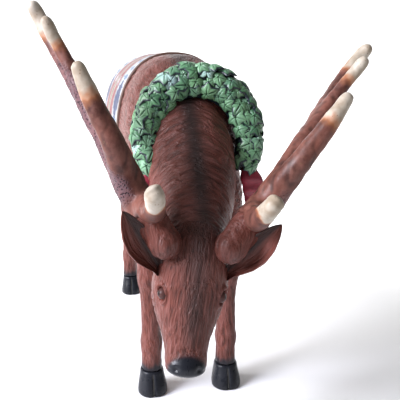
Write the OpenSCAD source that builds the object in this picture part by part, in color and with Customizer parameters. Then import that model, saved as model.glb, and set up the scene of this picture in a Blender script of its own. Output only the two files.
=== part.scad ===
// Life-size grazing reindeer garden figure: hollow cast shells on a steel frame,
// with lift-out antlers, a moulded garland, a ribbon and a patterned saddle blanket.
// Millimetres. Forward is -Y, up is +Z, the ground is Z = 0.
// The reindeer's own left side is +X and its own right side is -X.

/* [Shells] */
// Wall thickness of the cast shells
wall = 6; // [4:0.5:9]
// Width of the bond line left between two neighbouring castings
bond = 0.4; // [0.3:0.1:0.8]
// Squareness of the torso cross section (2 is an ellipse)
torso_square = 2.35; // [2:0.05:2.8]
// Squareness of the neck and head cross section
head_square = 2.15; // [2:0.05:2.6]
// Girth of the torso sideways, as a share of the normal figure
torso_girth = 1; // [0.95:0.01:1.04]

/* [Legs and hooves] */
// Height of a hoof from sole to coronet
hoof_h = 79; // [70:1:90]
// Width of a hoof at the sole
hoof_w = 91; // [80:1:96]
// Length of a hoof at the sole
hoof_l = 108; // [96:1:120]
// Width of the cleft between the two toes
cleft_w = 7; // [4:0.5:10]
// Distance of each leg from the middle plane
leg_x = 122; // [116:1:126]
// How far the stance stands over towards the reindeer's left
stance = 6; // [0:1:8]
// Leg thickness, as a share of the normal leg
leg_girth = 1; // [0.92:0.01:1.08]

/* [Steel frame] */
// Radius of the leg rods and of the bore in each hoof
rod_r = 8; // [6:0.5:9]
// Side of the square cross bars
bar_side = 30; // [24:1:34]
// Outer radius of the spine tube
spine_r = 17; // [13:1:20]
// Outer radius of the neck tube
neck_tube_r = 12; // [9:1:14]
// Wall thickness of both round tubes
tube_wall = 2; // [1.5:0.5:3]
// Length of the threaded insert in each sole
insert_len = 24; // [16:1:30]
// Radius of the threaded hole in each sole
insert_hole_r = 4.25; // [3.3:0.05:5.1]

/* [Antlers] */
// Side of the square steel peg on each antler
peg_side = 16; // [12:0.5:18]
// Free length of the peg below the joint line
peg_len = 62; // [45:1:64]
// Gap between the peg and its socket, all round
peg_gap = 0.3; // [0.25:0.05:0.5]
// Wall of the square socket tube
socket_wall = 2; // [1.5:0.5:2.5]
// Radius of the antler at its joint line
root_r = 43; // [40:0.5:45]
// Thickness of the beams and tines, as a share of the normal antler
tine_girth = 1; // [0.9:0.02:1.1]

/* [Ears and eyes] */
// Radius of the eyes
eye_r = 17; // [15:0.5:19]
// Half width of the ear cup
ear_w = 38; // [30:1:40]
// Thickness of the ear cup
ear_t = 7; // [5:0.5:9]

/* [Garland and ribbon] */
// Half width of the garland centre line
garland_a = 148; // [142:1:154]
// Half height of the garland centre line
garland_b = 164; // [158:1:170]
// Radius of the leafy roll
garland_r = 48; // [42:1:50]
// How far each end of the garland passes below its middle, in degrees
garland_end = 31; // [24:1:34]
// Length of one ivy leaf
leaf_len = 62; // [50:1:70]
// Thickness of one ivy leaf
leaf_t = 7; // [5:0.5:9]
// Width of the ribbon
ribbon_w = 62; // [50:1:70]
// Thickness of the ribbon
ribbon_t = 6; // [4:0.5:8]

/* [Saddle blanket] */
// Thickness of the blanket
blanket_t = 7; // [5:0.5:10]
// How far the blanket comes down each side, in degrees from the spine
blanket_drop = 140; // [126:2:144]

/* [Hidden] */
$fn = 48;
half_bond = bond / 2;
// moves the whole figure, so that the origin is on the ground under the middle of its box
origin_shift = [-48.131, 66.147, 0];
// the head is turned and tipped a little about this point
head_pivot = [0, -560, 620];
head_shift = [-26, 0, 0];
head_tip = 6.9;
head_turn = -3;

// stations: [top y, top z, bottom y, bottom z, half width, share of the head turn]
torso_tab = [
    [-364, 800, -364, 690, 54, 0],
    [-348, 868, -348, 630, 100, 0],
    [-310, 950, -310, 580, 140, 0],
    [-260, 1015, -260, 552, 166, 0],
    [-180, 1052, -180, 528, 178, 0],
    [-90, 1062, -90, 518, 181, 0],
    [0, 1060, 0, 518, 187, 0],
    [90, 1056, 90, 522, 197, 0],
    [180, 1054, 180, 532, 206, 0],
    [270, 1054, 270, 550, 210, 0],
    [360, 1050, 360, 578, 208, 0],
    [440, 1036, 440, 618, 197, 0],
    [510, 1012, 510, 664, 178, 0],
    [570, 976, 570, 706, 148, 0],
    [620, 926, 620, 748, 106, 0],
    [648, 882, 648, 786, 62, 0]];
neck_tab = [
    [-270, 972, -280, 622, 118, 0],
    [-320, 952, -310, 600, 126, 0.05],
    [-375, 914, -345, 584, 128, 0.15],
    [-450, 840, -386, 556, 120, 0.35],
    [-515, 768, -420, 530, 108, 0.6],
    [-570, 702, -446, 508, 96, 0.85],
    [-622, 660, -466, 488, 88, 1],
    [-655, 622, -482, 462, 90, 1],
    [-672, 570, -496, 430, 97, 1],
    [-682, 510, -514, 395, 97, 1],
    [-691, 450, -540, 360, 82, 1],
    [-700, 395, -575, 331, 65, 1],
    [-709, 350, -610, 307, 56, 1]];
muzzle_tab = [
    [-709, 350, -610, 307, 56, 1],
    [-718, 330, -626, 293, 55, 1],
    [-729, 308, -640, 280, 53, 1],
    [-730, 292, -652, 272, 46, 1],
    [-720, 280, -664, 268, 30, 1]];
// stations: [z, x from the leg line, y, half width, half depth], starting on top of the normal hoof
leg_start = 79;
front_leg_tab = [
    [leg_start, 0, -270, 33, 37],
    [120, 0, -270, 31, 34],
    [165, 0, -268, 35, 40],
    [200, 0, -268, 32, 36],
    [260, 0, -268, 31, 34],
    [330, 0, -268, 33, 38],
    [385, 0, -270, 40, 46],
    [425, 0, -268, 39, 46],
    [480, -1, -264, 43, 55],
    [540, -4, -256, 52, 72],
    [610, -6, -246, 58, 90],
    [690, -8, -236, 56, 98],
    [760, -12, -230, 40, 80]];
rear_leg_tab = [
    [leg_start, 0, 598, 33, 37],
    [120, 0, 602, 30, 34],
    [165, 0, 607, 34, 39],
    [210, 0, 614, 30, 34],
    [300, 0, 630, 29, 34],
    [365, 0, 644, 33, 42],
    [405, 0, 648, 35, 50],
    [450, 0, 630, 35, 52],
    [520, 2, 574, 44, 66],
    [600, 5, 514, 56, 92],
    [690, 8, 470, 66, 118],
    [780, 6, 450, 60, 116],
    [850, -6, 440, 40, 84]];
front_hoof_y = -276;
rear_hoof_y = 590;
// the rear hooves are a little smaller than the front ones
rear_hoof_size = 0.9;
hoof_tab = [[0, 1, 1, 0], [14, 1.01, 1, 0], [40, 0.93, 0.9, 2], [66, 0.82, 0.75, 5],
    [leg_start, 0.76, 0.68, 6]];
// antler centre lines of the left side: [x, y, z, radius]
joint_pt = [132, -616, 666];
stub_pt = [73, -654, 594];
beam_line = [[158, -604, 696, 41], [184, -600, 740, 39], [214, -588, 788, 36], [258, -542, 854, 32],
    [306, -488, 918, 28], [351, -430, 979, 24], [397, -380, 1037, 20.5], [436, -348, 1088, 18],
    [458, -341, 1122, 16.5], [470, -347, 1143, 14.5]];
fork_line = [[300, -500, 912, 24], [322, -488, 948, 20], [344, -470, 984, 17], [378, -456, 1033, 15],
    [406, -452, 1074, 14], [424, -460, 1106, 12.5]];
mid_line = [[190, -610, 752, 36], [226, -642, 830, 29], [262, -642, 890, 25], [300, -637, 955, 20],
    [328, -634, 1008, 14]];
brow_line = [[150, -606, 694, 35], [138, -648, 695, 32], [127, -700, 697, 29], [126, -748, 716, 26],
    [134, -802, 759, 22]];
// leg rod lines of the left side
rod_top = 650;
front_rod_y = -272;
rear_rod_y = 598;
front_bar_y = front_rod_y;
rear_bar_y = 470;
rear_reach = leg_x + 8;
front_rod_line = [[0, front_rod_y, insert_len + 2], [0, front_rod_y, 540],
    [-22, front_rod_y, rod_top - 30], [-22, front_rod_y, rod_top]];
rear_rod_line = [[0, rear_rod_y, insert_len + 2], [0, rear_rod_y, 84], [0, 642, 400],
    [-6, rear_bar_y, rod_top - 40], [-6, rear_bar_y, rod_top]];
ribs = 16;

// ---------- surface helpers ----------
function bend(v, e) = sign(v) * pow(abs(v), 2 / e);
function spin_y(p, a) = [p[0] * cos(a) + p[2] * sin(a), p[1], p[2] * cos(a) - p[0] * sin(a)];
function spin_z(p, a) = [p[0] * cos(a) - p[1] * sin(a), p[0] * sin(a) + p[1] * cos(a), p[2]];
function turned(p) = spin_y(spin_z(p - head_pivot, head_turn), head_tip) + head_pivot + head_shift;
function posed(p, w) = p * (1 - w) + turned(p) * w;
function mix4(a, b, c, d, t) = 0.5 * ((2 * b) + (c - a) * t + (2 * a - 5 * b + 4 * c - d) * t * t
    + (3 * b - a - 3 * c + d) * t * t * t);
function row(tab, s) =
    let (n = len(tab), i = min(floor(s), n - 2), t = s - i)
    mix4(tab[max(i - 1, 0)], tab[i], tab[i + 1], tab[min(i + 2, n - 1)], t);
// a point on a lofted body: s runs along it, a is the angle from its top line
function skin(tab, s, a, off, sq, girth) =
    let (r = row(tab, s), top = [r[0], r[1]], low = [r[2], r[3]], mid = (top + low) / 2,
        up = (top - low) / 2, k = (norm(up) + off) / norm(up) * bend(cos(a), sq),
        x = (r[4] * girth + off) * bend(sin(a), sq))
    posed([x, mid[0] + up[0] * k, mid[1] + up[1] * k], r[5]);
// the same point, kept clear of the middle plane and set on one side
function half_skin(tab, s, a, off, sq, girth, side, flat) =
    let (r = row(tab, s), top = [r[0], r[1]], low = [r[2], r[3]], mid = (top + low) / 2,
        up = (top - low) / 2, k = flat ? 0.55 * cos(a) : (norm(up) + off) / norm(up) * bend(cos(a), sq),
        x = flat ? half_bond : max(half_bond, (r[4] * girth + off) * bend(sin(a), sq)))
    posed([side * x, mid[0] + up[0] * k, mid[1] + up[1] * k], r[5]);
function total(list) = list * [for (v = list) 1];
function reversed(list) = [for (i = [len(list) - 1:-1:0]) list[i]];
// twice the swept volume of a closed set of faces, with its sign
function swept(pts, faces) = total([for (f = faces)
    total([for (i = [1:len(f) - 2]) pts[f[0]] * cross(pts[f[i]], pts[f[i + 1]])])]);
// faces turned so that every one of them looks outwards
function outward(pts, faces) = swept(pts, faces) > 0 ? [for (f = faces) reversed(f)] : faces;

// solid through a list of rings that all have the same number of points
module ring_solid(rings, mirrored = false) {
    n = len(rings[0]);
    m = len(rings);
    pts = [for (r = rings) each r];
    walls = [for (j = [0:m - 2]) for (i = [0:n - 1])
        let (a = j * n + i, b = j * n + (i + 1) % n, c = a + n, d = b + n)
        each mirrored ? [[a, b, c], [b, d, c]] : [[a, b, d], [a, d, c]]];
    first = [[for (i = [n - 1:-1:0]) i]];
    last = [[for (i = [0:n - 1]) (m - 1) * n + i]];
    polyhedron(points = pts, faces = outward(pts, concat(walls, first, last)), convexity = 6);
}

// pipe with an outer and an inner row of rings
module ring_pipe(outer, inner) {
    n = len(outer[0]);
    m = len(outer);
    h = n * m;
    pts = concat([for (r = outer) each r], [for (r = inner) each r]);
    out_walls = [for (j = [0:m - 2]) for (i = [0:n - 1])
        let (a = j * n + i, b = j * n + (i + 1) % n, c = a + n, d = b + n)
        each [[a, b, d], [a, d, c]]];
    in_walls = [for (j = [0:m - 2]) for (i = [0:n - 1])
        let (a = h + j * n + i, b = h + j * n + (i + 1) % n, c = a + n, d = b + n)
        each [[a, d, b], [a, c, d]]];
    first = [for (i = [0:n - 1]) let (a = i, b = (i + 1) % n) each [[a, h + b, b], [a, h + a, h + b]]];
    last = [for (i = [0:n - 1]) let (k = (m - 1) * n, a = k + i, b = k + (i + 1) % n)
        each [[a, b, h + b], [a, h + b, h + a]]];
    polyhedron(points = pts, faces = outward(pts, concat(out_walls, in_walls, first, last)), convexity = 8);
}

// one half of a hollow lofted body, open on the middle plane
module half_shell(tab, steps, sq, girth, side, cap_first, cap_last) {
    m = len(steps);
    rings = [for (j = [0:m - 1])
        let (s = steps[j], flat = (cap_first && j < 2) || (cap_last && j > m - 3))
        concat([for (i = [0:ribs]) half_skin(tab, s, i * 180 / ribs, 0, sq, girth, side, false)],
            [for (i = [ribs:-1:0]) half_skin(tab, s, i * 180 / ribs, -wall, sq, girth, side, flat)])];
    ring_solid(rings, side < 0);
}

module body_solid(tab, steps, off, sq, girth) {
    rings = [for (s = steps) [for (i = [0:2 * ribs - 1]) skin(tab, s, i * 180 / ribs, off, sq, girth)]];
    ring_solid(rings);
}

// raised patch that lies on a lofted body
module patch(tab, steps, angles, gap, thick, sq, girth) {
    rings = [for (s = steps) concat(
        [for (a = angles) skin(tab, s, a, gap + thick, sq, girth)],
        [for (i = [len(angles) - 1:-1:0]) skin(tab, s, angles[i], gap - 4, sq, girth)])];
    ring_solid(rings);
}

// facets are joined as one mesh, so the shell keeps its shape through the cuts
module one_mesh() {
    resize([0, 0, 0]) {
        children();
    }
}

module in_place() {
    translate(origin_shift) {
        children();
    }
}

module on_head() {
    translate(head_pivot + head_shift) {
        rotate([0, head_tip, 0]) {
            rotate([0, 0, head_turn]) {
                translate(-head_pivot) {
                    children();
                }
            }
        }
    }
}

torso_steps = [for (i = [0:len(torso_tab) - 1]) i];
neck_steps = [0, 1, 2, 2.5, 3, 3.5, 4, 4.5, 5, 5.5, 6, 6.5, 7, 7.5, 8, 8.5, 9, 9.5, 10, 11, 12];
muzzle_steps = [0, 1, 2, 3, 4];

module torso_block(off) {
    body_solid(torso_tab, torso_steps, off, torso_square, torso_girth);
}

module neck_block(off) {
    body_solid(neck_tab, neck_steps, off, head_square, 1);
}

// ---------- steel frame ----------
module rod(line, side, r) {
    for (i = [0:len(line) - 2]) {
        p = [stance + side * (leg_x + line[i][0]), line[i][1], line[i][2]];
        q = [stance + side * (leg_x + line[i + 1][0]), line[i + 1][1], line[i + 1][2]];
        d = q - p;
        translate(p) {
            rotate([0, acos(d[2] / norm(d)), atan2(d[1], d[0])]) {
                cylinder(r = r, h = norm(d));
            }
        }
        if (i > 0) {
            translate(p) {
                sphere(r = r * 1.15);
            }
        }
    }
}

module front_rod(side) {
    color("silver") {
        in_place() {
            rod(front_rod_line, side, rod_r);
        }
    }
}

module rear_rod(side) {
    color("silver") {
        in_place() {
            rod(rear_rod_line, side, rod_r);
        }
    }
}

module front_rod_left() {
    front_rod(1);
}

module front_rod_right() {
    front_rod(-1);
}

module rear_rod_left() {
    rear_rod(1);
}

module rear_rod_right() {
    rear_rod(-1);
}

module bar_block(y, reach, grow) {
    translate([stance - reach - grow, y - bar_side / 2 - grow, rod_top - grow]) {
        cube([2 * (reach + grow), bar_side + 2 * grow, bar_side + 2 * grow]);
    }
}

module cross_bar(y, reach) {
    color("gainsboro") {
        in_place() {
            difference() {
                bar_block(y, reach, 0);
                translate([stance - reach - 1, y - bar_side / 2 + tube_wall, rod_top + tube_wall]) {
                    cube([2 * reach + 2, bar_side - 2 * tube_wall, bar_side - 2 * tube_wall]);
                }
            }
        }
    }
}

module front_cross_bar() {
    cross_bar(front_bar_y, leg_x - 10);
}

module rear_cross_bar() {
    cross_bar(rear_bar_y, rear_reach);
}

spine_z = rod_top + bar_side + spine_r;

module spine_tube() {
    color("lightsteelblue") {
        in_place() {
            translate([0, -292, spine_z]) {
                rotate([-90, 0, 0]) {
                    difference() {
                        cylinder(r = spine_r, h = 790);
                        translate([0, 0, -1]) {
                            cylinder(r = spine_r - tube_wall, h = 792);
                        }
                    }
                }
            }
        }
    }
}

neck_a = [0, -303, spine_z];
neck_b = [-16, -520, 610];

module neck_bar(r, past = 0) {
    d = neck_b - neck_a;
    translate(neck_a) {
        rotate([0, acos(d[2] / norm(d)), atan2(d[1], d[0])]) {
            translate([0, 0, -past]) {
                cylinder(r = r, h = norm(d) + 2 * past);
            }
        }
    }
}

module neck_tube() {
    color("lightsteelblue") {
        in_place() {
            difference() {
                neck_bar(neck_tube_r);
                neck_bar(neck_tube_r - tube_wall, 1);
            }
        }
    }
}

// ---------- torso ----------
module torso_shell(side) {
    color("sienna") {
        in_place() {
            one_mesh() {
                difference() {
                    half_shell(torso_tab, torso_steps, torso_square, torso_girth, side, true, true);
                    rod(front_rod_line, side, rod_r + 1);
                    rod(rear_rod_line, side, rod_r + 1);
                    bar_block(rear_bar_y, rear_reach, 1);
                    neck_bar(neck_tube_r + 1);
                }
            }
        }
    }
}

module torso_shell_left() {
    torso_shell(1);
}

module torso_shell_right() {
    torso_shell(-1);
}

module tail() {
    color("saddlebrown") {
        in_place() {
            one_mesh() {
                difference() {
                    ring_solid([for (t = [[610, 935, 20, 22], [640, 932, 30, 26], [664, 912, 34, 26],
                            [680, 880, 30, 22], [686, 845, 20, 15], [686, 822, 9, 8]])
                        [for (i = [0:15]) let (a = -i * 22.5)
                            [t[2] * cos(a), t[0] + t[3] * sin(a) * 0.75, t[1] + t[3] * sin(a) * 0.65]]]);
                    torso_block(half_bond);
                }
            }
        }
    }
}

// ---------- neck and head ----------
function head_side(p, side) = [side * p[0], p[1], p[2]];
peg_dir = (joint_pt - stub_pt) / norm(joint_pt - stub_pt);

// puts its children on the antler axis of one side, Z pointing out of the head
module on_antler(side) {
    d = head_side(peg_dir, side);
    translate(head_side(joint_pt, side)) {
        rotate([0, acos(d[2]), atan2(d[1], d[0])]) {
            children();
        }
    }
}

eye_pt = [76, -652, 474];

module neck_head_shell(side) {
    color("sienna") {
        in_place() {
            one_mesh() {
                difference() {
                    half_shell(neck_tab, neck_steps, head_square, 1, side, false, false);
                    torso_block(half_bond);
                    on_head() {
                        translate(head_side(eye_pt, side)) {
                            sphere(r = eye_r + 0.5, $fn = 24);
                        }
                        on_antler(side) {
                            translate([-peg_side / 2 - 4, -peg_side / 2 - 4, -peg_len - 8]) {
                                cube([peg_side + 8, peg_side + 8, peg_len]);
                            }
                        }
                    }
                }
            }
        }
    }
}

module neck_head_shell_left() {
    neck_head_shell(1);
}

module neck_head_shell_right() {
    neck_head_shell(-1);
}

module muzzle() {
    color("#2a2022") {
        in_place() {
            translate([0, -bond, -bond]) {
                body_solid(muzzle_tab, muzzle_steps, 0, head_square, 1);
            }
        }
    }
}

module eye(side) {
    color("black") {
        in_place() {
            on_head() {
                translate(head_side(eye_pt, side)) {
                    sphere(r = eye_r);
                }
            }
        }
    }
}

module eye_left() {
    eye(1);
}

module eye_right() {
    eye(-1);
}

ear_base = [96, -622, 534];
ear_tip = [197, -682, 686];
ear_rows = [[0, 0.42, 0.5], [0.12, 0.62, 0.7], [0.3, 0.9, 1], [0.5, 1, 1], [0.7, 0.86, 0.85],
    [0.86, 0.56, 0.6], [0.96, 0.26, 0.3], [1, 0.1, 0.12]];

module ear_cup(side) {
    axis = (ear_tip - ear_base) / norm(ear_tip - ear_base);
    out = cross(axis, [0.15, -0.97, 0.1]);
    wide = out / norm(out);
    deep = cross(wide, axis);
    rings = [for (r = ear_rows)
        let (c = ear_base + (ear_tip - ear_base) * r[0], w = ear_w * r[1], d = 24 * r[2])
        [for (p = concat(
                [for (i = [0:10]) [w * cos(180 - i * 18), -d * sin(i * 18)]],
                [for (i = [10:-1:0]) [(w - ear_t * 0.45 * r[1]) * cos(180 - i * 18),
                    ear_t * 0.5 * r[1] + 0.5 - max(d - ear_t * r[1], 0.5) * sin(i * 18)]]))
            head_side(c + wide * p[0] - deep * p[1], side)]];
    ring_solid(rings);
}

module ear(side) {
    color("#7a3f30") {
        in_place() {
            one_mesh() {
                difference() {
                    on_head() {
                        ear_cup(side);
                    }
                    neck_block(half_bond);
                    on_head() {
                        on_antler(side) {
                            translate([0, 0, -110]) {
                                cylinder(r = root_r + 4, h = 260);
                            }
                        }
                    }
                }
            }
        }
    }
}

module ear_left() {
    ear(1);
}

module ear_right() {
    ear(-1);
}

module pedicle(side) {
    color("#703a2c") {
        in_place() {
            one_mesh() {
                difference() {
                    on_head() {
                        on_antler(side) {
                            difference() {
                                translate([0, 0, -84]) {
                                    cylinder(r1 = root_r - 1, r2 = root_r, h = 84, $fn = 32);
                                    sphere(r = root_r - 1, $fn = 32);
                                }
                                translate([0, 0, -peg_len - 3]) {
                                    linear_extrude(height = peg_len + 4) {
                                        square(peg_side + 2 * (peg_gap + socket_wall), center = true);
                                    }
                                }
                            }
                        }
                    }
                    neck_block(half_bond);
                }
            }
        }
    }
}

module pedicle_left() {
    pedicle(1);
}

module pedicle_right() {
    pedicle(-1);
}

module antler_socket(side) {
    color("slategray") {
        in_place() {
            on_head() {
                on_antler(side) {
                    translate([0, 0, -peg_len - 3]) {
                        linear_extrude(height = peg_len + 3) {
                            difference() {
                                square(peg_side + 2 * (peg_gap + socket_wall), center = true);
                                square(peg_side + 2 * peg_gap, center = true);
                            }
                        }
                    }
                }
            }
        }
    }
}

module antler_socket_left() {
    antler_socket(1);
}

module antler_socket_right() {
    antler_socket(-1);
}

// ---------- antlers ----------
function unit(v) = v / norm(v);
function xyz(p) = [p[0], p[1], p[2]];
function along(line, i) = unit(xyz(line[min(i + 1, len(line) - 1)]) - xyz(line[max(i - 1, 0)]));

// round branch through a list of points, with a domed tip
module branch(line, side, sides) {
    n = len(line);
    last = line[n - 1];
    dir = along(line, n - 1);
    body = [for (i = [0:n - 1]) [xyz(line[i]), along(line, i), line[i][3]]];
    dome = [for (t = [35, 62, 82]) [xyz(last) + dir * last[3] * sin(t), dir, last[3] * cos(t)]];
    rings = [for (b = concat(body, dome))
        let (u = unit(cross(b[1], [0.31, 0.17, 0.12] + [b[1][1], b[1][2], b[1][0]])), v = cross(b[1], u))
        [for (k = [0:sides - 1]) let (a = k * 360 / sides)
            head_side(b[0] + (u * cos(a) + v * sin(a)) * b[2] * tine_girth, side)]];
    ring_solid(rings);
}

root_len = 56;

module antler_casting(side) {
    color("#7d4534") {
        in_place() {
            on_head() {
                one_mesh() {
                    difference() {
                        union() {
                            on_antler(side) {
                                translate([0, 0, -2]) {
                                    cylinder(r1 = root_r, r2 = 38, h = root_len + 2, $fn = 24);
                                }
                            }
                            branch(beam_line, side, 14);
                            branch(fork_line, side, 10);
                            branch(mid_line, side, 12);
                            branch(brow_line, side, 14);
                        }
                        on_antler(side) {
                            translate([0, 0, -80]) {
                                linear_extrude(height = 80 + root_len - 8) {
                                    square(peg_side + 0.02, center = true);
                                }
                            }
                            translate([0, 0, -90 + bond]) {
                                cylinder(r = root_r + 4, h = 90, $fn = 48);
                            }
                        }
                    }
                }
            }
        }
    }
}

module antler_casting_left() {
    antler_casting(1);
}

module antler_casting_right() {
    antler_casting(-1);
}

module antler_peg(side) {
    color("lightgray") {
        in_place() {
            on_head() {
                on_antler(side) {
                    translate([0, 0, -peg_len]) {
                        linear_extrude(height = peg_len + root_len - 10) {
                            square(peg_side, center = true);
                        }
                    }
                }
            }
        }
    }
}

module antler_peg_left() {
    antler_peg(1);
}

module antler_peg_right() {
    antler_peg(-1);
}

// ---------- legs ----------
function leg_ring(r, side, off) = [for (i = [0:23])
    [stance + side * (leg_x + r[1]) + (r[3] * leg_girth + off) * cos(i * 15),
        r[2] + (r[4] * leg_girth + off) * sin(i * 15), r[0]]];

module leg_block(side, off) {
    translate([0, 0, hoof_h - leg_start + bond]) {
        ring_solid([for (r = front_leg_tab) leg_ring(r, side, off)]);
    }
}

module leg_pipe(tab, side) {
    translate([0, 0, hoof_h - leg_start + bond]) {
        ring_pipe([for (r = tab) leg_ring(r, side, 0)], [for (r = tab) leg_ring(r, side, -wall)]);
    }
}

module front_leg_shell(side) {
    color("sienna") {
        in_place() {
            one_mesh() {
                difference() {
                    leg_pipe(front_leg_tab, side);
                    torso_block(half_bond);
                    neck_block(half_bond);
                }
            }
        }
    }
}

module rear_leg_shell(side) {
    color("sienna") {
        in_place() {
            one_mesh() {
                difference() {
                    leg_pipe(rear_leg_tab, side);
                    torso_block(half_bond);
                    bar_block(rear_bar_y, rear_reach, 1);
                }
            }
        }
    }
}

module front_leg_shell_left() {
    front_leg_shell(1);
}

module front_leg_shell_right() {
    front_leg_shell(-1);
}

module rear_leg_shell_left() {
    rear_leg_shell(1);
}

module rear_leg_shell_right() {
    rear_leg_shell(-1);
}

module hoof(side, y, rod_y, size) {
    color("darkslategray") {
        in_place() {
            difference() {
                ring_solid([for (t = hoof_tab) [for (i = [0:27]) let (a = i * 360 / 28)
                    [stance + side * leg_x + hoof_w / 2 * size * t[1] * bend(cos(a), 2.2),
                        y + t[3] + hoof_l / 2 * t[2] * bend(sin(a), 2.2), t[0] * hoof_h / leg_start]]]);
                translate([stance + side * leg_x - cleft_w / 2, y - hoof_l / 2 - 5, -1]) {
                    cube([cleft_w, 30, hoof_h * 0.8]);
                }
                translate([stance + side * leg_x, rod_y, -1]) {
                    cylinder(r = rod_r, h = hoof_h + 2);
                }
            }
        }
    }
}

module front_hoof_left() {
    hoof(1, front_hoof_y, front_rod_y, 1);
}

module front_hoof_right() {
    hoof(-1, front_hoof_y, front_rod_y, 1);
}

module rear_hoof_left() {
    hoof(1, rear_hoof_y, rear_rod_y, rear_hoof_size);
}

module rear_hoof_right() {
    hoof(-1, rear_hoof_y, rear_rod_y, rear_hoof_size);
}

module insert(side, y) {
    color("goldenrod") {
        in_place() {
            translate([stance + side * leg_x, y, 0]) {
                difference() {
                    cylinder(r = rod_r - 0.02, h = insert_len);
                    translate([0, 0, -1]) {
                        cylinder(r = insert_hole_r, h = insert_len + 2);
                    }
                }
            }
        }
    }
}

module front_insert_left() {
    insert(1, front_rod_y);
}

module front_insert_right() {
    insert(-1, front_rod_y);
}

module rear_insert_left() {
    insert(1, rear_rod_y);
}

module rear_insert_right() {
    insert(-1, rear_rod_y);
}

// ---------- garland, ribbon and blanket ----------
garland_mid = [24, -338, 828];
garland_lean = 10;
garland_parts = 20;
function garland_pt(a) = [garland_a * cos(a), 0, garland_b * sin(a)];
function garland_dir(a) = unit([-garland_a * sin(a), 0, garland_b * cos(a)]);
leaf_outline = [[0, -0.36], [0.3, -0.46], [0.27, -0.16], [0.5, 0.06], [0.2, 0.16], [0, 0.56],
    [-0.2, 0.16], [-0.5, 0.06], [-0.27, -0.16], [-0.3, -0.46]];

module leaf() {
    linear_extrude(height = leaf_t) {
        polygon(leaf_outline * leaf_len);
    }
}

module leafy_roll() {
    from = -garland_end;
    span = 180 + 2 * garland_end;
    ring_solid([for (j = [0:garland_parts])
        let (a = from + span * j / garland_parts, c = garland_pt(a), d = garland_dir(a),
            r = garland_r - 5 + ((j == 0 || j == garland_parts) ? -12 : 0), w = r + 12 * max(0, sin(a)))
        [for (i = [0:11]) let (b = -i * 30) c + cross([0, 1, 0], d) * w * cos(b) + [0, 1, 0] * r * sin(b)]]);
    for (j = [0:9]) {
        for (k = [0:2]) {
            a = from + 6 + (span - 12) * (j + (k % 2) * 0.5) / 9.5;
            b = [-12, 36, 84][k];
            c = garland_pt(a);
            d = garland_dir(a);
            outward = cross([0, 1, 0], d) * cos(b) - [0, 1, 0] * sin(b);
            tilt = acos(outward[2]);
            turn = atan2(outward[1], outward[0]);
            translate(c + outward * (garland_r - 10 + 12 * max(0, sin(a)) * abs(cos(b)))) {
                rotate([0, tilt, turn]) {
                    rotate([0, 0, 95 * j + 70 * k]) {
                        leaf();
                    }
                }
            }
        }
    }
}

module garland() {
    color("seagreen") {
        in_place() {
            one_mesh() {
                difference() {
                    translate(garland_mid) {
                        rotate([-garland_lean, 0, 0]) {
                            leafy_roll();
                        }
                    }
                    torso_block(half_bond);
                    neck_block(half_bond);
                    leg_block(1, half_bond);
                    leg_block(-1, half_bond);
                    ribbon_tail_block(1, bond);
                    ribbon_tail_block(-1, bond);
                }
            }
        }
    }
}

module ribbon_band() {
    color("darkred") {
        in_place() {
            one_mesh() {
                difference() {
                    patch(neck_tab, [2, 2 + ribbon_w / 160, 2 + ribbon_w / 80],
                        [for (i = [10.5:0.5:21.5]) i * 180 / 16], 0.6, ribbon_t, head_square, 1);
                    neck_block(half_bond);
                    torso_block(half_bond);
                    ribbon_tail_block(1, bond);
                    ribbon_tail_block(-1, bond);
                }
            }
        }
    }
}

// hanging end of the ribbon: [z, x, y, half width, half depth]
function tail_rows(side) = side > 0 ?
    [[738, 176, -356, 22, 12], [722, 178, -362, 30, 15], [700, 183, -366, 32, 14], [676, 186, -368, 31, 12],
        [650, 184, -368, 24, 10], [628, 178, -366, 12, 7]] :
    [[736, -128, -372, 16, 10], [720, -132, -376, 22, 12], [700, -134, -376, 22, 11],
        [680, -132, -374, 19, 10], [660, -128, -372, 12, 8], [646, -124, -370, 6, 5]];

module ribbon_tail_block(side, grow) {
    ring_solid([for (t = tail_rows(side)) [for (i = [0:15]) let (a = i * 22.5)
        [t[1] + (t[3] + grow) * bend(cos(a), 2.6), t[2] + (t[4] + grow) * bend(sin(a), 2.6), t[0]]]]);
}

module ribbon_tail(side) {
    color("firebrick") {
        in_place() {
            one_mesh() {
                difference() {
                    ribbon_tail_block(side, 0);
                    neck_block(half_bond);
                    torso_block(half_bond);
                    leg_block(side, half_bond);
                }
            }
        }
    }
}

module ribbon_tail_left() {
    ribbon_tail(1);
}

module ribbon_tail_right() {
    ribbon_tail(-1);
}

module saddle_blanket() {
    color("indianred") {
        in_place() {
            one_mesh() {
                difference() {
                    patch(torso_tab, [5.75, 6, 7, 8, 9, 10],
                        concat([-blanket_drop], [for (i = [-11:11]) i * 180 / ribs], [blanket_drop]),
                        0.6, blanket_t, torso_square, torso_girth);
                    torso_block(0.6);
                }
            }
        }
    }
}

torso_shell_left();
torso_shell_right();
neck_head_shell_left();
neck_head_shell_right();
muzzle();
eye_left();
eye_right();
ear_left();
ear_right();
pedicle_left();
pedicle_right();
tail();
front_leg_shell_left();
front_leg_shell_right();
rear_leg_shell_left();
rear_leg_shell_right();
front_hoof_left();
front_hoof_right();
rear_hoof_left();
rear_hoof_right();
front_insert_left();
front_insert_right();
rear_insert_left();
rear_insert_right();
front_rod_left();
front_rod_right();
rear_rod_left();
rear_rod_right();
front_cross_bar();
rear_cross_bar();
spine_tube();
neck_tube();
antler_socket_left();
antler_socket_right();
antler_casting_left();
antler_peg_left();
antler_casting_right();
antler_peg_right();
garland();
ribbon_band();
ribbon_tail_left();
ribbon_tail_right();
saddle_blanket();
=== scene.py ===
import math

import bmesh
import bpy
import numpy as np
from mathutils import Matrix, Vector


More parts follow.
